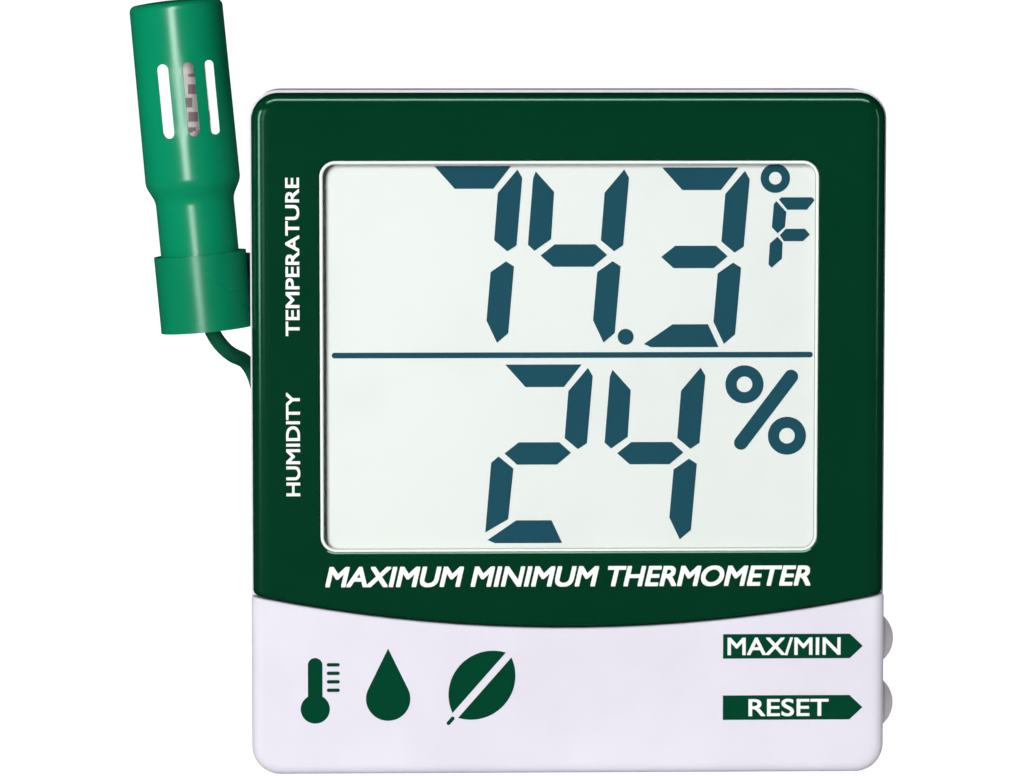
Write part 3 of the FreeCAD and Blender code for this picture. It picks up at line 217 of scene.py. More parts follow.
class EffectLibrary:
    """Builds each shared node group once."""

    RIPPLE_WIDTH = 9.0
    RIPPLE_SHARE = 0.7
    DRIFT_DETAIL = 3.0
    SHEEN_DETAIL = 4.0
    NOISE_RANGE = (0.3, 0.7)
    WIPE_TURNS = (0.5, -0.9)
    WIPE_STRETCH = (1.0, 1.0, 0.02)
    WIPE_RANGE = (0.68, 0.78)

    def __init__(self) -> None:
        """Start with no group built."""
        self._built: dict[Effect, bpy.types.NodeTree] = {}

    def get(self, effect: Effect) -> bpy.types.NodeTree:
        """Return the node group of an effect, building it at its first use.

        Args:
            effect: Which group.

        Returns:
            The shader node group.
        """
        builders: dict[Effect, Callable[[], bpy.types.NodeTree]] = {
            Effect.GRAIN: self._grain,
            Effect.DRIFT: self._drift,
            Effect.SHEEN: self._sheen,
            Effect.HAIRLINES: self._hairlines,
        }
        if effect not in self._built:
            self._built[effect] = builders[effect]()
        return self._built[effect]

    @staticmethod
    def _start(
        effect: Effect, inputs: Sequence[tuple[str, str]], output: tuple[str, str]
    ) -> tuple[NodeSheet, bpy.types.Node, bpy.types.Node]:
        """Make an empty group with named sockets.

        Args:
            effect: Which group.
            inputs: Name and socket type of each input.
            output: Name and socket type of the output.

        Returns:
            The sheet, its input node and its output node.
        """
        tree = bpy.data.node_groups.new(effect.value, "ShaderNodeTree")
        for name, kind in inputs:
            tree.interface.new_socket(name=name, in_out="INPUT", socket_type=kind)
        tree.interface.new_socket(name=output[0], in_out="OUTPUT", socket_type=output[1])
        sheet = NodeSheet(tree)
        return sheet, sheet.add("NodeGroupInput"), sheet.add("NodeGroupOutput")

    @staticmethod
    def _place_and_scale(
        sheet: NodeSheet, start: bpy.types.Node, size: str
    ) -> tuple[bpy.types.NodeSocket, bpy.types.NodeSocket]:
        """Object coordinates, and the noise scale that gives a feature size.

        Args:
            sheet: The group's nodes.
            start: The group's input node.
            size: Name of its socket with the feature size in metres.

        Returns:
            Sockets of the coordinates and of the scale.
        """
        return sheet.add("TexCoord").outputs["Object"], sheet.sum("DIVIDE", 1.0, start.outputs[size])

    def _swing(self, sheet: NodeSheet, start: bpy.types.Node, detail: float) -> bpy.types.NodeSocket:
        """Slow patches that swing between -1 and 1.

        Args:
            sheet: The group's nodes.
            start: The group's input node, with a Patch socket.
            detail: How fine the patches' edges are.

        Returns:
            Output socket of the swing.
        """
        place, scale = self._place_and_scale(sheet, start, "Patch")
        patches = sheet.add("TexNoise", None, Vector=place, Scale=scale, Detail=detail)
        return sheet.span(patches.outputs["Fac"], *self.NOISE_RANGE, -1.0, 1.0)

    def _grain(self) -> bpy.types.NodeTree:
        """Fine spark-eroded texture with a slower ripple under it, as a height.

        Returns:
            The node group.
        """
        sheet, start, end = self._start(
            Effect.GRAIN, [("Size", "NodeSocketFloat")], ("Height", "NodeSocketFloat")
        )
        place, scale = self._place_and_scale(sheet, start, "Size")
        slower = sheet.sum("DIVIDE", scale, self.RIPPLE_WIDTH)
        fine = sheet.add("TexNoise", None, Vector=place, Scale=scale, Detail=2.0)
        slow = sheet.add("TexNoise", None, Vector=place, Scale=slower, Detail=1.0)
        ripple = sheet.sum("MULTIPLY", slow.outputs["Fac"], self.RIPPLE_SHARE)
        sheet.feed(end.inputs["Height"], sheet.sum("ADD", fine.outputs["Fac"], ripple))
        return sheet.tree

    def _drift(self) -> bpy.types.NodeTree:
        """Slow unevenness of a colour, as resin and print have.

        Returns:
            The node group.
        """
        sheet, start, end = self._start(
            Effect.DRIFT,
            [("Colour", "NodeSocketColor"), ("Amount", "NodeSocketFloat"), ("Patch", "NodeSocketFloat")],
            ("Colour", "NodeSocketColor"),
        )
        swing = self._swing(sheet, start, self.DRIFT_DETAIL)
        level = sheet.sum("ADD", 1.0, sheet.sum("MULTIPLY", swing, start.outputs["Amount"]))
        grey = sheet.add("CombineColor", None, Red=level, Green=level, Blue=level).outputs[0]
        sheet.feed(end.inputs["Colour"], sheet.blend(1.0, start.outputs["Colour"], grey, "MULTIPLY"))
        return sheet.tree

    def _sheen(self) -> bpy.types.NodeTree:
        """Roughness that rises and falls a little where hands and cloths have been.

        Returns:
            The node group.
        """
        sheet, start, end = self._start(
            Effect.SHEEN,
            [("Roughness", "NodeSocketFloat"), ("Spread", "NodeSocketFloat"), ("Patch", "NodeSocketFloat")],
            ("Roughness", "NodeSocketFloat"),
        )
        swing = self._swing(sheet, start, self.SHEEN_DETAIL)
        change = sheet.sum("MULTIPLY", swing, start.outputs["Spread"])
        sheet.feed(end.inputs["Roughness"], sheet.sum("ADD", start.outputs["Roughness"], change))
        return sheet.tree

    def _hairlines(self) -> bpy.types.NodeTree:
        """Very faint wiping marks in glossy covers, as a height.

        Returns:
            The node group.
        """
        sheet, start, end = self._start(
            Effect.HAIRLINES, [("Spacing", "NodeSocketFloat")], ("Height", "NodeSocketFloat")
        )
        place, scale = self._place_and_scale(sheet, start, "Spacing")
        marks = []
        for turn in self.WIPE_TURNS:
            stretch = sheet.add(
                "Mapping", None, Vector=place, Rotation=(0.0, turn, 0.0), Scale=self.WIPE_STRETCH
            )
            lines = sheet.add("TexNoise", None, Vector=stretch.outputs[0], Scale=scale, Detail=1.0)
            marks.append(sheet.span(lines.outputs["Fac"], *self.WIPE_RANGE, 0.0, 1.0))
        sheet.feed(end.inputs["Height"], sheet.sum("SUBTRACT", 1.0, sheet.sum("MAXIMUM", *marks)))
        return sheet.tree


# ---------------------------------------------------------------------------------------------
# Finishes
# ---------------------------------------------------------------------------------------------


@dataclass(frozen=True)
class Finish:
    """A surface: its colour, gloss and fine relief. Relief sizes are in millimetres."""

    name: str
    colour: Colour
    roughness: float
    sheen_spread: float = 0.04
    drift: float = 0.03
    patch: float = 14.0
    grain: float = 0.25
    relief: float = 0.004
    metallic: float = 0.0
    coat: float = 0.0
    ior: float = 1.49
    hairlines: float = 0.0
    softness: float = 0.0

    COAT_ROUGHNESS = 0.06
    SCATTER = (0.6, 0.6, 0.6)
    SCATTER_DEPTH = 0.8
    HAIRLINE_SPACING = 0.35

    def _pattern(self, sheet: NodeSheet) -> object:
        """Colour before it drifts, as a plain value or as a socket."""
        return self.colour

    def build(self, library: EffectLibrary) -> bpy.types.Material:
        """Make the material.

        Args:
            library: Shared effects.

        Returns:
            The finished material.
        """
        material = bpy.data.materials.new(self.name)
        material.use_nodes = True
        material.node_tree.nodes.clear()
        material.diffuse_color = (*self.colour, 1.0)
        sheet = NodeSheet(material.node_tree)
        patch = mm(self.patch)
        base = grouped(
            sheet, library.get(Effect.DRIFT), Colour=self._pattern(sheet), Amount=self.drift, Patch=patch
        )
        roughness = grouped(
            sheet,
            library.get(Effect.SHEEN),
            Roughness=self.roughness,
            Spread=self.sheen_spread,
            Patch=patch,
        )
        shader = sheet.add(
            "BsdfPrincipled",
            None,
            Base_Color=base,
            Roughness=roughness,
            Metallic=self.metallic,
            Normal=self._relief(sheet, library),
        )
        shader.inputs["IOR"].default_value = self.ior
        shader.inputs["Coat Weight"].default_value = self.coat
        shader.inputs["Coat Roughness"].default_value = self.COAT_ROUGHNESS
        shader.inputs["Subsurface Weight"].default_value = self.softness
        shader.inputs["Subsurface Radius"].default_value = self.SCATTER
        shader.inputs["Subsurface Scale"].default_value = mm(self.SCATTER_DEPTH)
        self._close(sheet, shader)
        return material

    def _relief(self, sheet: NodeSheet, library: EffectLibrary) -> bpy.types.NodeSocket:
        """Normal socket with the finish's fine relief.

        Args:
            sheet: The material's nodes.
            library: Shared effects.

        Returns:
            Output socket of the last bump node.
        """
        height = grouped(sheet, library.get(Effect.GRAIN), Size=mm(self.grain))
        bump = sheet.add("Bump", None, Strength=1.0, Distance=mm(self.relief), Height=height)
        if self.hairlines:
            lines = grouped(sheet, library.get(Effect.HAIRLINES), Spacing=mm(self.HAIRLINE_SPACING))
            bump = sheet.add(
                "Bump",
                None,
                Strength=1.0,
                Distance=mm(self.hairlines),
                Height=lines,
                Normal=bump.outputs[0],
            )
        return bump.outputs[0]

    def _close(self, sheet: NodeSheet, shader: bpy.types.Node) -> None:
        """Join the shader to the material's output.

        Args:
            sheet: The material's nodes.
            shader: The principled shader.
        """
        sheet.add("OutputMaterial", None, Surface=shader.outputs[0])


@dataclass(frozen=True)
class ClearFinish(Finish):
    """Clear moulded window that lets lamp light straight through."""

    def _close(self, sheet: NodeSheet, shader: bpy.types.Node) -> None:
        """Let shadow rays pass, so that the display behind it is lit.

        Args:
            sheet: The material's nodes.
            shader: The principled shader.
        """
        shader.inputs["Transmission Weight"].default_value = 1.0
        passing = sheet.add("BsdfTransparent")
        kind = sheet.add("LightPath").outputs["Is Shadow Ray"]
        mixed = sheet.add("MixShader", None, Fac=kind)
        sheet.feed(mixed.inputs[1], shader.outputs[0])
        sheet.feed(mixed.inputs[2], passing.outputs[0])
        sheet.add("OutputMaterial", None, Surface=mixed.outputs[0])


@dataclass(frozen=True)
class BandedFinish(Finish):
    """Finish whose colour changes in bands along X, as on a battery's jacket."""

    edges: tuple[float, ...] = ()
    bands: tuple[Colour, ...] = ()

    def _pattern(self, sheet: NodeSheet) -> object:
        """Colour by place along X.

        Args:
            sheet: The material's nodes.

        Returns:
            Socket of the colour.
        """
        place = sheet.add("TexCoord").outputs["Object"]
        along = sheet.add("SeparateXYZ", None, Vector=place).outputs[0]
        colour: object = self.colour
        for edge, band in zip(self.edges, self.bands):
            past = sheet.sum("GREATER_THAN", along, mm(edge))
            colour = sheet.blend(past, colour, band)
        return colour


@dataclass(frozen=True)
class ComponentFinish(Finish):
    """Finish with darker cells scattered in rows, as pads and tracks on a small board."""

    second: Colour = (0.1, 0.1, 0.1)
    cell: float = 2.0

    DISORDER = 0.55
    PAD_EDGE = (0.3, 0.34)

    def _pattern(self, sheet: NodeSheet) -> object:
        """Colour with a cell pattern over it.

        Args:
            sheet: The material's nodes.

        Returns:
            Socket of the colour.
        """
        cells = sheet.add(
            "TexVoronoi",
            {"distance": "CHEBYCHEV"},
            Vector=sheet.add("TexCoord").outputs["Object"],
            Scale=1.0 / mm(self.cell),
            Randomness=self.DISORDER,
        )
        mask = sheet.span(cells.outputs["Distance"], *self.PAD_EDGE, 1.0, 0.0)
        return sheet.blend(mask, self.colour, self.second)


def grouped(sheet: NodeSheet, tree: bpy.types.NodeTree, **inputs: object) -> bpy.types.NodeSocket:
    """Place a node group and return its first output.

    Args:
        sheet: Nodes to place it in.
        tree: The group.
        inputs: Values or sockets by input name.

    Returns:
        The group's first output socket.
    """
    node = sheet.add("Group", {"node_tree": tree})
    for name, value in inputs.items():
        sheet.feed(node.inputs[name], value)
    return node.outputs[0]


class Palette:
    """Every finish of the thermometer, built when first asked for."""

    FINISHES = (
        Finish("white_abs", srgb(216, 213, 223), 0.42, grain=0.35, relief=0.005, softness=0.05),
        Finish(
            "dark_green_gloss",
            (0.0006, 0.034, 0.0135),
            0.16,
            0.02,
            relief=0.0008,
            grain=2.5,
            hairlines=0.0004,
        ),
        ClearFinish("clear_acrylic", (1.0, 1.0, 1.0), 0.02, 0.01, relief=0.0002, grain=3.0, ior=1.25),
        Finish("display_film", srgb(241, 247, 242), 0.6, drift=0.008, patch=40.0, relief=0.0006, ior=1.2),
        Finish("display_segments", srgb(34, 82, 97), 0.6, drift=0.02, relief=0.0003, ior=1.15),
        Finish("cell_glass", srgb(150, 165, 160), 0.08, relief=0.0002),
        Finish("foam", srgb(70, 72, 75), 0.95, grain=0.5, relief=0.08),
        Finish("inner_abs", srgb(205, 205, 208), 0.55, grain=0.4, relief=0.006),
        ComponentFinish(
            "solder_mask",
            srgb(20, 90, 55),
            0.35,
            relief=0.004,
            coat=0.3,
            second=srgb(185, 160, 90),
            cell=1.6,
        ),
        Finish("black_epoxy", srgb(22, 22, 24), 0.3, grain=1.2, relief=0.02),
        Finish("chip_ceramic", srgb(120, 100, 80), 0.6, grain=0.2),
        Finish("black_plastic", srgb(28, 28, 30), 0.45, grain=0.25, relief=0.006),
        Finish("conductive_rubber", srgb(190, 120, 120), 0.75, grain=0.2, relief=0.01),
        Finish("grey_button", srgb(225, 221, 226), 0.38, grain=0.3, relief=0.004),
        Finish("plated_steel", srgb(200, 200, 205), 0.28, metallic=0.4, grain=0.4, relief=0.002),
        Finish("nickel", srgb(190, 192, 196), 0.16, metallic=0.4, grain=0.8, relief=0.001),
        BandedFinish(
            "battery_jacket",
            srgb(170, 172, 176),
            0.22,
            coat=0.5,
            edges=(-21.4, -15.0, 20.4),
            bands=(srgb(25, 30, 34), srgb(20, 110, 75), srgb(200, 200, 205)),
        ),
        Finish("probe_green", (0.0004, 0.215, 0.098), 0.24, 0.03, ior=1.36, grain=0.6, relief=0.0018),
        Finish("cup_green", (0.0004, 0.19, 0.086), 0.28, 0.03, ior=1.36, grain=0.6, relief=0.002),
        Finish(
            "cable_green",
            (0.0006, 0.12, 0.056),
            0.38,
            0.05,
            ior=1.36,
            grain=0.5,
            relief=0.012,
            patch=6.0,
        ),
        ComponentFinish(
            "sensor_film", srgb(228, 216, 216), 0.4, relief=0.004, second=srgb(150, 128, 138), cell=2.4
        ),
        # White of the real print, also used for the painted highlight on the window's edge.
        Finish("print_and_painted_highlight_white", srgb(240, 242, 240), 0.35, drift=0.01, relief=0.0008),
        # Grey that paints the shade just inside the window's edge.
        Finish("painted_shade_grey", srgb(175, 185, 182), 0.4, drift=0.02, relief=0.0008),
        Finish("printed_green", (0.0006, 0.05, 0.0225), 0.55, drift=0.02, relief=0.0008, ior=1.15),
        Finish("tie_strip", srgb(230, 230, 228), 0.5, grain=0.3, relief=0.01),
    )

    def __init__(self) -> None:
        """Start with no material built."""
        self._library = EffectLibrary()
        self._finishes = {finish.name: finish for finish in self.FINISHES}
        self._built: dict[str, bpy.types.Material] = {}

    def material(self, name: str) -> bpy.types.Material:
        """Return the material of a named finish.

        Args:
            name: Finish name.

        Returns:
            The material, built once.
        """
        if name not in self._built:
            self._built[name] = self._finishes[name].build(self._library)
        return self._built[name]


# ---------------------------------------------------------------------------------------------
# Bench: making, placing and recording pieces
# ---------------------------------------------------------------------------------------------


class Facing(Enum):
    """Which way flat work looks."""

    FRONT = "front"
    REAR = "rear"

    def turned(self, plane: float) -> Matrix:
        """Matrix that stands flat work up on a plane of the case.

        Args:
            plane: Y of the surface that the work lies on.

        Returns:
            Matrix from drawing coordinates, in metres, to the row frame.
        """
        upright = Matrix.Rotation(math.radians(90), 4, "X")
        if self is Facing.REAR:
            upright = Matrix.Rotation(math.radians(180), 4, "Z") @ upright
        return Matrix.Translation((0.0, mm(plane), 0.0)) @ upright


class Bench:
    """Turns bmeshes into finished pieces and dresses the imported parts."""

    SHARP = math.radians(35)

    def __init__(self, frame: dict, palette: Palette) -> None:
        """Keep the frame and the finishes."""
        self.nodes: dict[str, bpy.types.Object] = frame["nodes"]
        self.palette = palette

    def keep(
        self,
        name: str,
        mesh: bmesh.types.BMesh | bpy.types.Mesh,
        finish: str,
        body: str | None,
        smooth: bool = False,
    ) -> bpy.types.Object:
        """Make a piece from a mesh, give it its finish and let it ride.

        Args:
            name: Piece name.
            mesh: A bmesh, which is freed, or a finished mesh.
            finish: Name of its finish.
            body: Body that it rides on, or None to leave it on no body.
            smooth: Whether its faces are shaded smooth between sharp edges.

        Returns:
            The new object.
        """
        if isinstance(mesh, bmesh.types.BMesh):
            work = mesh
        else:
            work = bmesh.new()
            work.from_mesh(mesh)
        for face in work.faces:
            face.smooth = smooth
        for edge in work.edges:
            edge.smooth = len(edge.link_faces) != 2 or edge.calc_face_angle(0.0) < self.SHARP
        data = bpy.data.meshes.new(name)
        work.to_mesh(data)
        work.free()
        data.materials.append(self.palette.material(finish))
        piece = bpy.data.objects.new(name, data)
        bpy.context.collection.objects.link(piece)
        if body is not None:
            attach(piece, body)
        LOG.info("%s: %d faces, %s", name, len(data.polygons), finish)
        return piece

    def dress(self, finish: str, *names: str) -> None:
        """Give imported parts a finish.

        Args:
            finish: Name of the finish.
            names: Node names.
        """
        material = self.palette.material(finish)
        for name in names:
            for slot in self.nodes[name].material_slots:
                slot.material = material
            LOG.info("%s: packed part, %s", name, finish)


class FlatWork:
    """Thin raised work such as print, drawn in X and Z of the case and then stood up."""

    RING_CORNERS = 48
    DISC_CORNERS = 40

    def __init__(self, thickness: float) -> None:
        """Start empty work of a thickness in millimetres."""
        self.thickness = thickness
        self.mesh = bmesh.new()

    def _raise(self, faces: Iterable[bmesh.types.BMFace]) -> None:
        """Extrude drawn faces to the work's thickness and close them below.

        Args:
            faces: Faces of the drawing.
        """
        faces = list(faces)
        bmesh.ops.recalc_face_normals(self.mesh, faces=faces)
        if faces[0].normal.z > 0:
            bmesh.ops.reverse_faces(self.mesh, faces=faces)
        made = bmesh.ops.extrude_face_region(self.mesh, geom=faces, use_keep_orig=True)
        top = [item for item in made["geom"] if isinstance(item, bmesh.types.BMVert)]
        bmesh.ops.translate(self.mesh, verts=top, vec=(0.0, 0.0, mm(self.thickness)))

    def shape(self, outline: Sequence[Point]) -> FlatWork:
        """Add a filled outline.

        Args:
            outline: Its corners in order, in millimetres.

        Returns:
            This work.
        """
        self._raise([self.mesh.faces.new(self._outline(outline))])
        return self

    def _outline(self, outline: Sequence[Point]) -> list[bmesh.types.BMVert]:
        """Corners of an outline given in millimetres."""
        return [self.mesh.verts.new((mm(x), mm(z), 0.0)) for x, z in outline]

    def _circle(self, centre: Point, radius: float, corners: int, filled: bool) -> list[bmesh.types.BMVert]:
        """Draw a circle.

        Args:
            centre: Its middle, in millimetres.
            radius: Its radius.
            corners: Corners round it.
            filled: Whether it gets a face.

        Returns:
            Its corners.
        """
        place = Matrix.Translation((mm(centre[0]), mm(centre[1]), 0.0))
        made = bmesh.ops.create_circle(
            self.mesh, cap_ends=filled, segments=corners, radius=mm(radius), matrix=place
        )
        return made["verts"]

    def ring(self, centre: Point, outer: float, inner: float) -> FlatWork:
        """Add a round ring.

        Args:
            centre: Its middle, in millimetres.
            outer: Outer radius.
            inner: Inner radius.

        Returns:
            This work.
        """
        edges: list[bmesh.types.BMEdge] = []
        for radius in (outer, inner):
            corners = self._circle(centre, radius, self.RING_CORNERS, filled=False)
            edges += dict.fromkeys(edge for vert in corners for edge in vert.link_edges)
        self._raise(bmesh.ops.bridge_loops(self.mesh, edges=edges)["faces"])
        return self

    def disc(self, centre: Point, radius: float) -> FlatWork:
        """Add a filled circle.

        Args:
            centre: Its middle, in millimetres.
            radius: Its radius.

        Returns:
            This work.
        """
        corners = self._circle(centre, radius, self.DISC_CORNERS, filled=True)
        self._raise(corners[0].link_faces)
        return self

    def bar(self, start: Point, end: Point, width: float) -> FlatWork:
        """Add a round-ended bar.

        Args:
            start: Middle of one end's round.
            end: Middle of the other end's round.
            width: Its width.

        Returns:
            This work.
        """
        heading = math.atan2(end[1] - start[1], end[0] - start[0])
        outline = arc(end, width / 2, heading - math.pi / 2, heading + math.pi / 2)
        outline += arc(start, width / 2, heading + math.pi / 2, heading + 3 * math.pi / 2)
        return self.shape(outline)

    def band(self, outer: Sequence[Point], inner: Sequence[Point]) -> FlatWork:
        """Add the strip between two outlines with the same number of corners.

        Args:
            outer: Outer corners.
            inner: Inner corners.

        Returns:
            This work.
        """
        edges: list[bmesh.types.BMEdge] = []
        for outline in (outer, inner):
            corners = self._outline(outline)
            for first, second in zip(corners, corners[1:] + corners[:1]):
                edges.append(self.mesh.edges.new((first, second)))
        self._raise(bmesh.ops.bridge_loops(self.mesh, edges=edges)["faces"])
        return self

    def moved(self, facing: Facing, plane: float) -> bmesh.types.BMesh:
        """Stand the work up on the case.

        Args:
            facing: Which way it looks.
            plane: Y of the surface under it.

        Returns:
            The finished bmesh.
        """
        bmesh.ops.transform(self.mesh, matrix=facing.turned(plane), verts=self.mesh.verts)
        return self.mesh


def arc(centre: Point, radius: float, start: float, end: float, steps: int = 12) -> list[Point]:
    """Points along an arc, both ends included.

    Args:
        centre: Its centre.
        radius: Its radius.
        start: Start angle in radians.
        end: End angle in radians.
        steps: Number of equal parts.

    Returns:
        The points in order.
    """
    points = []
    for step in range(steps + 1):
        angle = start + (end - start) * step / steps
        points.append((centre[0] + radius * math.cos(angle), centre[1] + radius * math.sin(angle)))
    return points


def rounded_rectangle(low: Point, high: Point, radius: float) -> list[Point]:
    """Corners of a rectangle with round corners.

    Args:
        low: Lower left corner.
        high: Upper right corner.
        radius: Corner radius.

    Returns:
        The outline's points in order.
    """
    outline: list[Point] = []
    middles = [
        (high[0] - radius, high[1] - radius),
        (low[0] + radius, high[1] - radius),
        (low[0] + radius, low[1] + radius),
        (high[0] - radius, low[1] + radius),
    ]
    for number, middle in enumerate(middles):
        start = number * math.pi / 2
        outline += arc(middle, radius, start, start + math.pi / 2, CORNER_STEPS)
    return outline


def mesh_of(curve: bpy.types.Curve) -> bpy.types.Mesh:
    """Turn a curve or a text into a mesh, and remove the curve.

    Args:
        curve: The curve's data.

    Returns:
        The evaluated mesh.
    """
    holder = bpy.data.objects.new(curve.name, curve)
    bpy.context.collection.objects.link(holder)
    bpy.context.view_layer.update()
    mesh = bpy.data.meshes.new_from_object(holder.evaluated_get(bpy.context.evaluated_depsgraph_get()))
    bpy.data.objects.remove(holder)
    bpy.data.curves.remove(curve)
    return mesh


@dataclass(frozen=True)
class Lettering:
    """A word in plain bold letters, fitted to a box in millimetres."""

    text: str
    centre: Point
    length: float
    height: float
    upward: bool = False
    slant: float = 0.0
    boldness: float = 0.06
    thickness: float = 0.03

    CURVE_STEPS = 5
    HALF_DEPTH = 0.5
    MERGE_DISTANCE = 1e-5
    STRIKE_LIFT = 0.4

    def mesh(self, facing: Facing, plane: float) -> bmesh.types.BMesh:
        """Make the word's mesh on the case.

        Args:
            facing: Which way it looks.
            plane: Y of the surface under it.

        Returns:
            The finished bmesh.
        """
        curve = bpy.data.curves.new("word", "FONT")
        curve.body = self.text
        curve.resolution_u = self.CURVE_STEPS
        curve.shear = self.slant
        curve.extrude = self.HALF_DEPTH
        flat = mesh_of(curve)
        work = bmesh.new()
        work.from_mesh(flat)
        bpy.data.meshes.remove(flat)
        bmesh.ops.remove_doubles(work, verts=work.verts, dist=self.MERGE_DISTANCE)
        xs = [vert.co.x for vert in work.verts]
        ys = [vert.co.y for vert in work.verts]
        middle = Vector(((min(xs) + max(xs)) / 2, (min(ys) + max(ys)) / 2, -self.HALF_DEPTH))
        across = mm(self.length - 2 * self.boldness) / (max(xs) - min(xs))
        upright = mm(self.height - 2 * self.boldness) / (max(ys) - min(ys))
        fit = Matrix.Diagonal((across, upright, mm(self.thickness), 1.0)) @ Matrix.Translation(-middle)
        bmesh.ops.transform(work, matrix=fit, verts=work.verts)
        self._embolden(work)
        turn = Matrix.Rotation(math.radians(90 if self.upward else 0), 4, "Z")
        place = Matrix.Translation((mm(self.centre[0]), mm(self.centre[1]), 0.0))
        bmesh.ops.transform(work, matrix=facing.turned(plane) @ place @ turn, verts=work.verts)
        return work

    def _embolden(self, work: bmesh.types.BMesh) -> None:
        """Strike the word four times, a little apart, so that its strokes widen evenly.

        Args:
            work: The word, flat and fitted to its box.
        """
        single = [*work.verts, *work.edges, *work.faces]
        step, lift = mm(self.boldness), mm(self.thickness * self.STRIKE_LIFT)
        for layer, (right, high) in enumerate(((1, -1), (-1, 1), (-1, -1)), start=1):
            struck = bmesh.ops.duplicate(work, geom=single)["geom"]
            copies = [item for item in struck if isinstance(item, bmesh.types.BMVert)]
            bmesh.ops.translate(work, verts=copies, vec=(right * step, high * step, layer * lift))
        first = [item for item in single if isinstance(item, bmesh.types.BMVert)]
        bmesh.ops.translate(work, verts=first, vec=(step, step, 0.0))


# ---------------------------------------------------------------------------------------------
# Cable
# ---------------------------------------------------------------------------------------------


@dataclass
class ProbeCable:
    """The probe's free cable: out of the cup, down behind the case, coiled, and into the back."""

    diameter: float = 2.4
    length: float = 457.0
    coil_centre: Point = (-33.8, 26.8)
    outer_turn: float = 13.4
    inner_turn: float = 11.0
    turns: float = 4.5
    points_per_turn: int = 24
    shift: float = 0.12
    first_shift_end: float = 0.88
    layers: int = 3
    spline_steps: int = 6
    bevel_steps: int = 5
    strip_thickness: float = 0.3
    strip_width: float = 3.2
    strip_clearance: float = 0.3
    strip_corner: float = 1.2
    strip_low: float = 0.02
    strip_headroom: float = 0.35
    strip_angle: float = 60.0
    upper_route: tuple[tuple[float, float, float], ...] = (
        (-57.61, 0.0, 76.17),
        (-57.28, 0.0, 72.4),
        (-56.1, 1.55, 68.75),
        (-53.7, 5.4, 65.5),
        (-50.9, 12.6, 63.9),
        (-49.2, 16.4, 58.6),
        (-48.4, 16.0, 50.0),
        (-48.6, 14.9, 38.0),
        (-48.2, 15.0, 24.0),
        (-47.4, 15.4, 11.0),
        (-47.2, 19.0, 3.2),
        (-47.2, 26.0, 1.2),
    )
    lower_route: tuple[tuple[float, float, float], ...] = (
        (-20.4, 26.0, 6.0),
        (-20.5, 21.0, 6.4),
        (-20.4, 15.6, 8.0),
        (-20.4, 10.0, 8.0),
    )
    lifted_below: tuple[float, float, float] = (-57.28, 0.0, 71.2)

    def _stage(self, turn: float, start: float) -> float:
        """How far a shift that begins at a turn has come, from 0 to 1.

        Args:
            turn: Place along the coil, in turns.
            start: Where the shift begins, in turns.

        Returns:
            The smoothed share.
        """
        share = min(1.0, max(0.0, (turn - start) / self.shift))
        return share * share * (3 - 2 * share)

    def coil_points(self) -> list[tuple[float, float, float]]:
        """Points of the coil: in at the outside of the lowest layer, out at the outside of the top.

        Returns:
            Points in millimetres, in order.
        """
        free = 1.0 - self.shift
        moves = [number * free + self.first_shift_end - self.shift for number in range(4)]
        points = []
        for step in range(1, round(self.turns * self.points_per_turn)):
            turn = step / self.points_per_turn
            inwards = self._stage(turn, moves[0]) - self._stage(turn, moves[2])
            layer = self._stage(turn, moves[1]) + self._stage(turn, moves[3])
            radius = self.outer_turn + (self.inner_turn - self.outer_turn) * inwards
            angle = math.pi - turn * 2 * math.pi
            points.append(
                (
                    self.coil_centre[0] + radius * math.cos(angle),
                    self.coil_centre[1] + radius * math.sin(angle),
                    self.diameter * (layer + 0.5),
                )
            )
        return points

    def _curve(self, thickness: float) -> bpy.types.Mesh:
        """Mesh of the cable's own spline.

        Args:
            thickness: Radius of the tube in millimetres, or 0 for the bare line.

        Returns:
            The evaluated mesh.
        """
        curve = bpy.data.curves.new("cable_line", "CURVE")
        curve.dimensions = "3D"
        curve.resolution_u = self.spline_steps
        curve.bevel_depth = mm(thickness)
        curve.bevel_resolution = self.bevel_steps
        curve.use_fill_caps = thickness > 0
        route = [*self.upper_route, *self.coil_points(), *self.lower_route]
        spline = curve.splines.new("NURBS")
        spline.points.add(len(route) - 1)
        for point, place in zip(spline.points, route):
            point.co = (*(mm(value) for value in place), 1.0)
        spline.order_u = 3
        spline.use_endpoint_u = True
        return mesh_of(curve)

    def _tie(self) -> bmesh.types.BMesh:
        """Flat strip that holds the coil's turns together.

        Returns:
            The finished bmesh.
        """
        radius = self.diameter / 2
        strip, corner = self.strip_thickness, self.strip_corner
        low = (self.inner_turn - radius - self.strip_clearance, self.strip_low)
        high = (
            self.outer_turn + radius + self.strip_clearance,
            self.diameter * self.layers + self.strip_headroom,
        )
        outer = rounded_rectangle(low, high, corner)
        inner = rounded_rectangle(
            (low[0] + strip, low[1] + strip), (high[0] - strip, high[1] - strip), corner - strip
        )
        work = FlatWork(self.strip_width)
        work.band(outer, inner)
        across = Matrix.Rotation(math.radians(90), 4, "X")
        turn = Matrix.Rotation(math.radians(self.strip_angle), 4, "Z")
        centre = Matrix.Translation((mm(self.coil_centre[0]), mm(self.coil_centre[1]), 0.0))
        middle = Matrix.Translation((0.0, 0.0, -mm(self.strip_width / 2)))
        bmesh.ops.transform(work.mesh, matrix=centre @ turn @ across @ middle, verts=work.mesh.verts)
        return work.mesh

    def build(self, bench: Bench) -> None:
        """Make the cable and the strip round its coil.

        Args:
            bench: Where pieces are made.
        """
        line = self._curve(0.0)
        bpy.data.meshes.remove(line)
        tube = self._curve(self.diameter / 2)
        cable = bench.keep("probe_cable", tube, "cable_green", None, smooth=True)
        tie = bench.keep("coil_tie", self._tie(), "tie_strip", "case")
        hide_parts("cable_upper", "cable_coil", "cable_lower")
        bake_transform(cable)


# ---------------------------------------------------------------------------------------------
# Display
# ---------------------------------------------------------------------------------------------


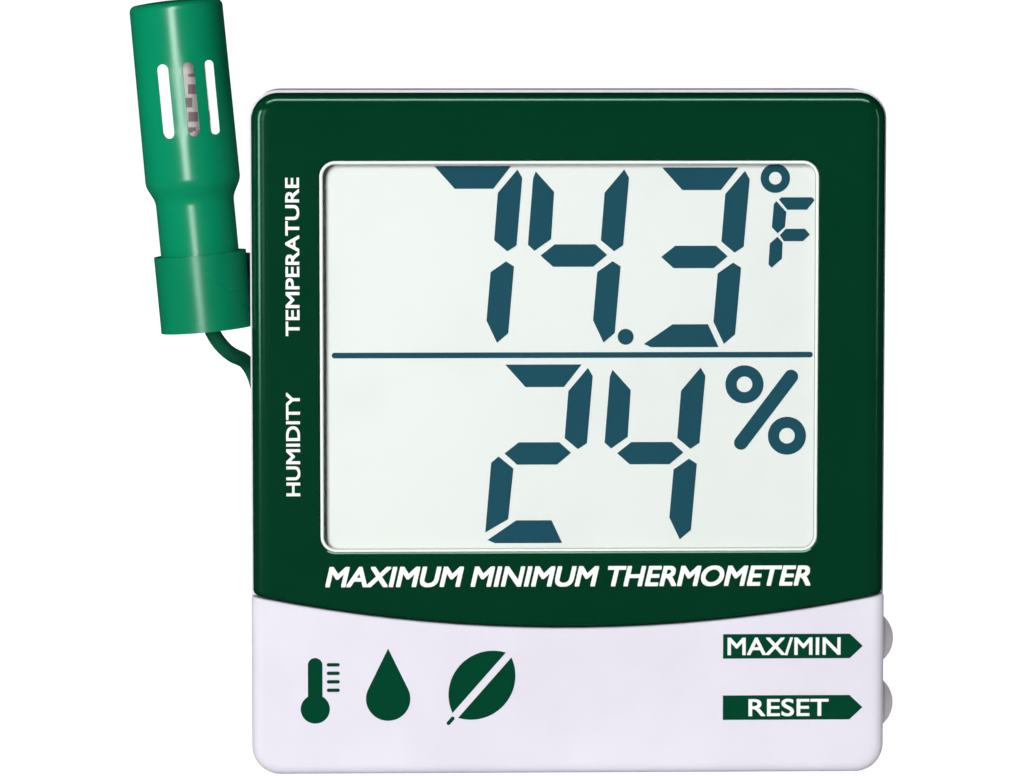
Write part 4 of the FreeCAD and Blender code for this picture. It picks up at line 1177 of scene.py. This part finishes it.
class Segment(Enum):
    """The seven strokes of a digit, each as its outline about an upright digit's middle."""

    TOP = ((-6.3, 14.05), (5.7, 14.05), (3.2, 10.5), (-2.85, 10.5))
    UPPER_RIGHT = ((6.76, 13.5), (7.6, 12.2), (7.46, 1.6), (6.1, 0.67), (3.9, 2.4), (3.95, 9.85))
    LOWER_RIGHT = ((6.0, -0.9), (7.3, -1.7), (7.15, -12.2), (5.5, -13.7), (3.6, -10.2), (3.7, -2.6))
    BOTTOM = ((-7.1, -13.7), (-5.9, -14.2), (4.7, -14.2), (2.76, -10.6), (-2.8, -10.6))
    LOWER_LEFT = ((-6.3, -0.46), (-7.4, -1.46), (-7.55, -12.5), (-4.1, -10.4), (-3.84, -2.4))
    UPPER_LEFT = ((-7.1, 13.2), (-7.44, 12.06), (-7.5, 1.7), (-6.4, 0.75), (-3.94, 2.6), (-4.0, 10.0))
    MIDDLE = ((-5.4, 0.0), (-3.3, 1.76), (3.1, 1.76), (5.05, 0.1), (3.0, -1.76), (-3.3, -1.76))


@dataclass
class Display:
    """The liquid crystal reading on the front film."""

    plane: float = -8.03
    thickness: float = 0.05
    lean: float = 0.0716
    upper_row: float = 82.1
    lower_row: float = 50.9
    fahrenheit_place: Point = (32.8, 85.25)

    SHAPES = {
        2: (Segment.TOP, Segment.UPPER_RIGHT, Segment.MIDDLE, Segment.LOWER_LEFT, Segment.BOTTOM),
        3: (Segment.TOP, Segment.UPPER_RIGHT, Segment.MIDDLE, Segment.LOWER_RIGHT, Segment.BOTTOM),
        4: (Segment.UPPER_LEFT, Segment.UPPER_RIGHT, Segment.MIDDLE, Segment.LOWER_RIGHT),
        7: (Segment.TOP, Segment.UPPER_RIGHT, Segment.LOWER_RIGHT),
    }
    FAHRENHEIT = (
        ((0.2, 5.6), (0.6, 5.95), (5.4, 5.95), (5.8, 5.5), (4.6, 4.0), (1.5, 4.0)),
        ((-0.2, 5.35), (1.35, 3.65), (1.15, 1.3), (0.0, 0.3), (-0.9, 1.27), (-0.6, 4.9)),
        ((0.35, 0.0), (1.3, 1.0), (4.3, 1.0), (5.1, 0.1), (4.0, -0.95), (1.0, -0.95)),
        ((0.0, -0.25), (0.8, -1.15), (0.7, -3.7), (-0.9, -5.1), (-1.4, -4.6), (-1.2, -1.3)),
    )

    def _digit(self, value: int, centre: Point) -> FlatWork:
        """Draw a leaning digit.

        Args:
            value: Which digit.
            centre: Its middle.

        Returns:
            The drawn work.
        """
        work = FlatWork(self.thickness)
        for segment in self.SHAPES[value]:
            work.shape([(centre[0] + x + self.lean * z, centre[1] + z) for x, z in segment.value])
        return work

    def _keep(self, bench: Bench, name: str, work: FlatWork) -> None:
        """Keep one mark of the reading."""
        bench.keep(name, work.moved(Facing.FRONT, self.plane), "display_segments", "case")

    def build(self, bench: Bench) -> None:
        """Make every mark of the reading and dress the display's layers.

        Args:
            bench: Where pieces are made.
        """
        digits = {
            "temperature_tens": (7, (-15.8, self.upper_row)),
            "temperature_units": (4, (0.95, self.upper_row)),
            "temperature_tenths": (3, (19.9, self.upper_row - 0.25)),
            "humidity_tens": (2, (-4.7, self.lower_row)),
            "humidity_units": (4, (13.05, self.lower_row)),
        }
        for name, (value, centre) in digits.items():
            self._keep(bench, name, self._digit(value, centre))
        marks = {
            "decimal_point": FlatWork(self.thickness).disc((8.95, 69.3), 1.25),
            "degree_ring": FlatWork(self.thickness).ring((32.4, 94.2), 2.3, 1.0),
            "divider_bar": FlatWork(self.thickness).bar((-36.8, 66.43), (38.0, 66.43), 0.88),
            "percent_upper_ring": FlatWork(self.thickness).ring((27.7, 61.75), 3.0, 1.24),
            "percent_lower_ring": FlatWork(self.thickness).ring((34.45, 53.6), 3.0, 1.24),
            "percent_stroke": FlatWork(self.thickness).bar((35.05, 62.95), (27.2, 52.5), 2.2),
        }
        letter = FlatWork(self.thickness)
        for stroke in self.FAHRENHEIT:
            letter.shape([(self.fahrenheit_place[0] + x, self.fahrenheit_place[1] + z) for x, z in stroke])
        marks["fahrenheit_letter"] = letter
        for name, work in marks.items():
            self._keep(bench, name, work)
        bench.dress("clear_acrylic", "display_window")
        bench.dress("display_film", "lcd_front_polariser", "lcd_reflector")
        bench.dress("cell_glass", "lcd_front_glass", "lcd_rear_glass")
        bench.dress("foam", "lcd_cushion")
        bench.dress("inner_abs", "lcd_frame")
        bench.dress("conductive_rubber", "zebra_strips")


# ---------------------------------------------------------------------------------------------
# Case front
# ---------------------------------------------------------------------------------------------


@dataclass
class CaseFront:
    """Front shell, green cover, everything printed on them, and the window's painted edge highlight and
    shade.
    """

    cover_plane: float = -10.0
    lower_plane: float = -9.8
    print_thickness: float = 0.03
    lens_plane: float = -9.6
    lens_half: float = 39.05
    lens_low: float = 35.55
    lens_high: float = 96.95
    lens_corner: float = 2.4
    # Width of the white band that paints the highlight on the lens's rounded edge.
    edge_highlight_width: float = 0.34
    # Width of the grey band inside it that paints the shade.
    painted_shade_width: float = 0.16
    arrow_left: float = 24.4
    arrow_shoulder: float = 44.46
    arrow_tip: float = 46.52
    arrow_half_height: float = 1.95
    stem_top: Point = (-40.0, 17.6)
    bulb_height: float = 10.6
    bulb_radius: float = 2.3
    tick_heights: tuple[float, ...] = (13.6, 14.95, 16.3, 17.65)
    tick_ends: Point = (2.1, 3.6)
    tick_width: float = 0.55
    drop_centre: Point = (-28.5, 12.2)
    drop_radius: float = 3.5
    drop_tip: float = 20.2
    leaf_foot: Point = (-18.0, 9.4)
    leaf_tip: Point = (-9.4, 19.2)
    leaf_bulge: float = 0.34
    leaf_half_gap: float = 0.28
    leaf_trim: float = 0.96
    stalk_ends: Point = (1.5, 0.5)
    stalk_width: float = 0.6

    COVER_WORDS = {
        "temperature_label": Lettering("TEMPERATURE", (-43.3, 82.05), 24.8, 2.2, upward=True),
        "humidity_label": Lettering("HUMIDITY", (-43.3, 52.6), 16.35, 2.2, upward=True),
        "title_label": Lettering(
            "MAXIMUM MINIMUM THERMOMETER", (-0.1, 31.6), 76.5, 3.3, slant=0.22, boldness=0.11
        ),
    }
    ARROWS = {"maxmin": 20.33, "reset": 10.55}
    ARROW_WORDS = {
        "maxmin": Lettering("MAX/MIN", (34.05, 20.33), 17.9, 2.85),
        "reset": Lettering("RESET", (34.8, 10.55), 12.7, 2.8),
    }

    def _painted_edge_band(self, start: float, width: float) -> bmesh.types.BMesh:
        """Band round the window's edge, for the lens edge's painted highlight and the painted shade inside
        it.

        Args:
            start: Distance of its outer side from the window's edge.
            width: Its width.

        Returns:
            The finished bmesh.
        """
        outlines = []
        for inset in (start, start + width):
            low = (-self.lens_half + inset, self.lens_low + inset)
            high = (self.lens_half - inset, self.lens_high - inset)
            outlines.append(rounded_rectangle(low, high, self.lens_corner - inset))
        work = FlatWork(self.print_thickness).band(outlines[0], outlines[1])
        return work.moved(Facing.FRONT, self.lens_plane)

    def _arrow(self, middle: float) -> bmesh.types.BMesh:
        """Printed arrow that points at a button.

        Args:
            middle: Height of its middle.

        Returns:
            The finished bmesh.
        """
        high, low = middle + self.arrow_half_height, middle - self.arrow_half_height
        outline = [
            (self.arrow_left, low),
            (self.arrow_shoulder, low),
            (self.arrow_tip, middle),
            (self.arrow_shoulder, high),
            (self.arrow_left, high),
        ]
        return FlatWork(self.print_thickness).shape(outline).moved(Facing.FRONT, self.lower_plane)

    def _thermometer(self) -> FlatWork:
        """Draw a thermometer: bulb and stem in one outline, with ticks beside it.

        Returns:
            The drawn work.
        """
        across, top = self.stem_top
        half_stem = self.bulb_radius / 2
        shoulder = math.asin(half_stem / self.bulb_radius)
        outline = arc(
            (across, self.bulb_height),
            self.bulb_radius,
            math.pi / 2 + shoulder,
            5 * math.pi / 2 - shoulder,
            30,
        )
        work = FlatWork(self.print_thickness).shape(outline + arc((across, top), half_stem, 0.0, math.pi))
        for height in self.tick_heights:
            near, far = (across + end for end in self.tick_ends)
            work.bar((near, height), (far, height), self.tick_width)
        return work

    def _drop(self) -> FlatWork:
        """Draw a falling drop, round below and pointed above.

        Returns:
            The drawn work.
        """
        across, low = self.drop_centre
        touch = math.asin(self.drop_radius / (self.drop_tip - low))
        outline = arc(self.drop_centre, self.drop_radius, math.pi - touch, 2 * math.pi + touch, 30)
        outline.append((across, self.drop_tip))
        return FlatWork(self.print_thickness).shape(outline)

    def _leaf(self) -> FlatWork:
        """Draw a leaf as two halves either side of its midrib, with a stalk.

        Returns:
            The drawn work.
        """
        foot, tip = self.leaf_foot, self.leaf_tip
        length = math.dist(foot, tip)
        heading = math.atan2(tip[1] - foot[1], tip[0] - foot[0])
        bulge = self.leaf_bulge * length
        radius = (length * length / 4 + bulge * bulge) / (2 * bulge)
        half = math.asin(length / 2 / radius) * self.leaf_trim
        middle = ((foot[0] + tip[0]) / 2, (foot[1] + tip[1]) / 2)
        offset = radius - bulge - self.leaf_half_gap
        work = FlatWork(self.print_thickness)
        for side in (1, -1):
            normal = heading + side * math.pi / 2
            centre = (middle[0] - offset * math.cos(normal), middle[1] - offset * math.sin(normal))
            work.shape(arc(centre, radius, normal - half, normal + half, 24))
        far, near = (
            (foot[0] - back * math.cos(heading), foot[1] - back * math.sin(heading))
            for back in self.stalk_ends
        )
        return work.bar(far, near, self.stalk_width)

    def _marks(self, bench: Bench) -> None:
        """Keep the pictograms of what the instrument measures: warmth, moisture and growth.

        Args:
            bench: Where pieces are made.
        """
        marks = {
            "thermometer_mark": self._thermometer(),
            "drop_mark": self._drop(),
            "leaf_mark": self._leaf(),
        }
        for name, work in marks.items():
            mesh = work.moved(Facing.FRONT, self.lower_plane)
            bench.keep(name, mesh, "printed_green", "case")

    def build(self, bench: Bench) -> None:
        """Make the print and the window's painted edge highlight and shade, and dress the front's parts.

        Args:
            bench: Where pieces are made.
        """
        bench.dress("white_abs", "front_case")
        bench.dress("dark_green_gloss", "fascia")
        bench.dress("grey_button", "maxmin_button", "reset_button")
        # Painted highlight: a white band along the window's edge stands in for the light on the lens's
        # rounded edge.
        line = self._painted_edge_band(0.0, self.edge_highlight_width)
        bench.keep("window_painted_highlight", line, "print_and_painted_highlight_white", "case")
        # Painted shade: a grey band just inside it stands in for the shade under the window's edge.
        shade = self._painted_edge_band(self.edge_highlight_width, self.painted_shade_width)
        bench.keep("window_painted_shade", shade, "painted_shade_grey", "case")
        for name, word in self.COVER_WORDS.items():
            mesh = word.mesh(Facing.FRONT, self.cover_plane)
            bench.keep(name, mesh, "print_and_painted_highlight_white", "case")
        for name, middle in self.ARROWS.items():
            bench.keep(f"{name}_arrow", self._arrow(middle), "printed_green", "case")
            mesh = self.ARROW_WORDS[name].mesh(Facing.FRONT, self.lower_plane - self.print_thickness)
            bench.keep(f"{name}_label", mesh, "print_and_painted_highlight_white", "case")
        self._marks(bench)


# ---------------------------------------------------------------------------------------------
# Case back
# ---------------------------------------------------------------------------------------------


@dataclass
class CaseBack:
    """Rear shell, stand, battery door and what is fastened to them."""

    rear_plane: float = 10.0
    door_plane: float = 9.7
    stand_plane: float = 9.7
    raised: float = 0.25
    rib_width: float = 0.6
    door_rib_spans: tuple[Point, ...] = ((-15.5, -8.0), (8.0, 15.5))
    door_rib_heights: tuple[float, ...] = (78.6, 79.8, 81.0)
    stand_rib_spans: tuple[Point, ...] = ((-6.0, 6.0),)
    stand_rib_heights: tuple[float, ...] = (4.8, 6.0, 7.2)

    SCALE_LETTERS = {
        "celsius_letter": Lettering("\u00b0C", (-36.8, 44.8), 2.9, 2.2, thickness=0.25),
        "fahrenheit_letter_rear": Lettering("\u00b0F", (-31.2, 44.8), 2.7, 2.2, thickness=0.25),
    }
    CELL_LETTERS = Lettering("1.5V  AAA", (0.0, 73.2), 15.0, 2.2, thickness=0.2)

    def _ribs(self, spans: Sequence[Point], heights: Sequence[float], plane: float) -> bmesh.types.BMesh:
        """Make raised grip ribs.

        Args:
            spans: Left and right end of each column of ribs.
            heights: Height of each rib.
            plane: Y of the surface under them.

        Returns:
            The finished bmesh.
        """
        work = FlatWork(self.raised)
        for left, right in spans:
            for height in heights:
                work.bar((left, height), (right, height), self.rib_width)
        return work.moved(Facing.REAR, plane)

    def _raised_work(self, bench: Bench) -> None:
        """Keep the moulded ribs and letters of the back.

        Args:
            bench: Where pieces are made.
        """
        for name, word in self.SCALE_LETTERS.items():
            bench.keep(name, word.mesh(Facing.REAR, self.rear_plane), "white_abs", "case")
        door_ribs = self._ribs(self.door_rib_spans, self.door_rib_heights, self.door_plane)
        bench.keep("door_ribs", door_ribs, "white_abs", "battery_door")
        letters = self.CELL_LETTERS.mesh(Facing.REAR, self.door_plane)
        bench.keep("cell_letters", letters, "white_abs", "battery_door")
        stand_ribs = self._ribs(self.stand_rib_spans, self.stand_rib_heights, self.stand_plane)
        bench.keep("stand_ribs", stand_ribs, "white_abs", "tilt_stand")

    def build(self, bench: Bench) -> None:
        """Make the back's small work and dress its parts.

        Args:
            bench: Where pieces are made.
        """
        self._raised_work(bench)
        bench.dress("white_abs", "rear_case", "tilt_stand", "battery_door")
        bench.dress("plated_steel", "case_screws", "board_screws", "crystal")
        bench.dress("plated_steel", "battery_contacts", "battery_spring")
        bench.dress("nickel", "magnets")
        bench.dress("black_plastic", "unit_switch_knob", "unit_switch_body")
        bench.dress("black_plastic", "tactile_switches", "probe_connector")
        bench.dress("battery_jacket", "battery")
        bench.dress("solder_mask", "main_board")
        bench.dress("black_epoxy", "controller_blob")
        bench.dress("chip_ceramic", "board_components")


# ---------------------------------------------------------------------------------------------
# Probe
# ---------------------------------------------------------------------------------------------


class Probe:
    """The air probe, its cup and its cable's ends."""

    def build(self, bench: Bench) -> None:
        """Dress the probe's parts.

        Args:
            bench: Where pieces are made.
        """
        bench.dress("probe_green", "probe_shell", "probe_plug")
        bench.dress("cup_green", "probe_holder")
        bench.dress("cable_green", "probe_lead", "cable_inside", "cable_grommet", "cable_strain_relief")
        bench.dress("sensor_film", "humidity_sensor", "sensor_board")
        bench.dress("black_epoxy", "temperature_sensor")


# ---------------------------------------------------------------------------------------------
# Studio
# ---------------------------------------------------------------------------------------------


class Share(Enum):
    """What a lamp is for: even light, or only its mirror image in glossy surfaces."""

    LIGHT = "light"
    SHINE = "shine"


@dataclass(frozen=True)
class Softbox:
    """A rectangular lamp aimed at the thermometer. Angles in degrees, lengths in metres."""

    name: str
    share: Share
    azimuth: float
    elevation: float
    distance: float
    width: float
    height: float
    power: float
    receivers: tuple[str, ...] = ()
    tint: Colour = (1.0, 1.0, 1.0)

    def place(self, target: Vector, nodes: dict[str, bpy.types.Object]) -> None:
        """Hang the lamp.

        Args:
            target: Where it is aimed.
            nodes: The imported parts, for a lamp that shines on some of them only.
        """
        lamp = bpy.data.lights.new(self.name, "AREA")
        lamp.shape = "RECTANGLE"
        lamp.size = self.width
        lamp.size_y = self.height
        lamp.energy = self.power
        lamp.color = self.tint
        holder = bpy.data.objects.new(self.name, lamp)
        bpy.context.collection.objects.link(holder)
        around, up = math.radians(self.azimuth), math.radians(self.elevation)
        aim = Vector((math.sin(around) * math.cos(up), -math.cos(around) * math.cos(up), math.sin(up)))
        holder.location = target + aim * self.distance
        holder.rotation_euler = aim.to_track_quat("Z", "Y").to_euler()
        holder.visible_camera = False
        holder.visible_transmission = False
        holder.visible_glossy = self.share is Share.SHINE
        holder.visible_diffuse = self.share is Share.LIGHT
        if self.receivers:
            lit = bpy.data.collections.new(f"lit_by_{self.name}")
            for name in self.receivers:
                lit.objects.link(nodes[name])
            holder.light_linking.receiver_collection = lit


@dataclass
class Studio:
    """Floor, surroundings, lamps and camera."""

    target: tuple[float, float, float] = (-9.2, -10.0, 61.4)
    camera_place: tuple[float, float, float] = (-28.6, -707.1, 122.0)
    focal_length: float = 157.3
    sensor: float = 36.0
    floor_radius: float = 6.0
    floor_corners: int = 96
    floor_tone: Colour = (0.85, 0.85, 0.85)
    floor_mirrored_tone: Colour = (0.02, 0.02, 0.02)
    floor_glow: float = 1.26
    floor_glow_share: float = 0.8
    surroundings_light: float = 0.06
    surroundings_seen: float = 1.1
    surroundings_mirrored: float = 0.12

    WHITE = (1.0, 1.0, 1.0)
    PALE_GREEN = (0.45, 1.0, 0.74)
    SHELLS = ("front_case", "rear_case")
    COVER = ("fascia",)
    BUTTONS = ("maxmin_button", "reset_button")
    PROBE = ("probe_shell", "probe_holder")
    SENSOR = ("sensor_board", "humidity_sensor")
    SOFTBOXES = (
        Softbox("key", Share.LIGHT, -24.0, 12.0, 1.3, 0.4, 0.6, 19.0),
        Softbox("right_fill", Share.LIGHT, 72.0, -1.5, 1.0, 0.5, 0.06, 2.5, (*SHELLS, *COVER, *BUTTONS)),
        Softbox("sensor_fill", Share.LIGHT, 3.0, 3.0, 0.9, 0.2, 0.3, 6.0, SENSOR),
        Softbox("probe_shine", Share.SHINE, -14.0, 20.0, 0.75, 0.18, 0.66, 10.5, PROBE),
        Softbox("soft_shine", Share.SHINE, -46.0, 12.0, 1.2, 0.3, 0.8, 1.6, COVER, PALE_GREEN),
        Softbox("left_strip", Share.SHINE, -72.0, 6.0, 1.0, 0.2, 0.8, 6.5, COVER, PALE_GREEN),
        Softbox("top_strip", Share.SHINE, 0.0, 80.0, 0.9, 1.2, 0.14, 7.5, COVER, PALE_GREEN),
        Softbox("right_strip", Share.SHINE, 76.0, 8.0, 1.0, 0.07, 0.7, 1.0, COVER, PALE_GREEN),
        Softbox("back_left", Share.LIGHT, -155.0, 22.0, 1.4, 0.7, 0.7, 6.0),
        Softbox("back_right", Share.LIGHT, 155.0, 22.0, 1.4, 0.7, 0.7, 6.0),
    )

    def _surroundings(self) -> None:
        """Plain pale surroundings that lamps, not reflections, make bright."""
        world = bpy.data.worlds.new("surroundings")
        bpy.context.scene.world = world
        world.use_nodes = True
        world.node_tree.nodes.clear()
        sheet = NodeSheet(world.node_tree)
        rays = sheet.add("LightPath")
        seen = rays.outputs["Is Camera Ray"]
        strength = sheet.span(seen, 0.0, 1.0, self.surroundings_light, self.surroundings_seen)
        dim = sheet.span(rays.outputs["Is Glossy Ray"], 0.0, 1.0, 1.0, self.surroundings_mirrored)
        level = sheet.sum("MULTIPLY", strength, dim)
        light = sheet.add("Background", None, Color=self.WHITE, Strength=level)
        sheet.add("OutputWorld", None, Surface=light.outputs[0])

    def _floor(self) -> None:
        """Pale floor that the thermometer stands on."""
        work = bmesh.new()
        bmesh.ops.create_circle(
            work, cap_ends=True, segments=self.floor_corners, radius=self.floor_radius
        )
        data = bpy.data.meshes.new("floor")
        work.to_mesh(data)
        work.free()
        floor = bpy.data.objects.new("floor", data)
        bpy.context.collection.objects.link(floor)
        material = bpy.data.materials.new("pale_floor")
        material.use_nodes = True
        material.node_tree.nodes.clear()
        sheet = NodeSheet(material.node_tree)
        rays = sheet.add("LightPath")
        tone = sheet.blend(rays.outputs["Is Glossy Ray"], self.floor_tone, self.floor_mirrored_tone)
        diffuse = sheet.add("BsdfDiffuse", None, Color=tone)
        glow = sheet.add("Emission", None, Color=self.WHITE, Strength=self.floor_glow)
        share = sheet.sum("MULTIPLY", rays.outputs["Is Camera Ray"], self.floor_glow_share)
        mixed = sheet.add("MixShader", None, Fac=share)
        sheet.feed(mixed.inputs[1], diffuse.outputs[0])
        sheet.feed(mixed.inputs[2], glow.outputs[0])
        sheet.add("OutputMaterial", None, Surface=mixed.outputs[0])
        data.materials.append(material)

    def _camera(self) -> None:
        """Camera a little above and to the left of the middle."""
        lens = bpy.data.cameras.new("camera")
        lens.lens = self.focal_length
        lens.sensor_width = self.sensor
        camera = bpy.data.objects.new("camera", lens)
        bpy.context.collection.objects.link(camera)
        place = Vector(mm(value) for value in self.camera_place)
        camera.location = place
        aim = Vector(mm(value) for value in self.target) - place
        camera.rotation_euler = aim.to_track_quat("-Z", "Y").to_euler()
        bpy.context.scene.camera = camera

    def build(self, nodes: dict[str, bpy.types.Object]) -> None:
        """Set up the studio, and keep the pale shells out of the probe's mirror images.

        Args:
            nodes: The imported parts.
        """
        bpy.context.scene.view_settings.view_transform = "Standard"
        self._surroundings()
        self._floor()
        target = Vector(mm(value) for value in self.target)
        for softbox in self.SOFTBOXES:
            softbox.place(target, nodes)
        for name in self.SHELLS:
            nodes[name].visible_glossy = False
        self._camera()


def main() -> None:
    """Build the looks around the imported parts, in order."""
    logging.basicConfig(level=logging.INFO, format="%(message)s")
    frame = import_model()
    bench = Bench(frame, Palette())
    Studio().build(bench.nodes)
    ProbeCable().build(bench)
    CaseFront().build(bench)
    Display().build(bench)
    CaseBack().build(bench)
    Probe().build(bench)


if __name__ == "__main__":
    main()
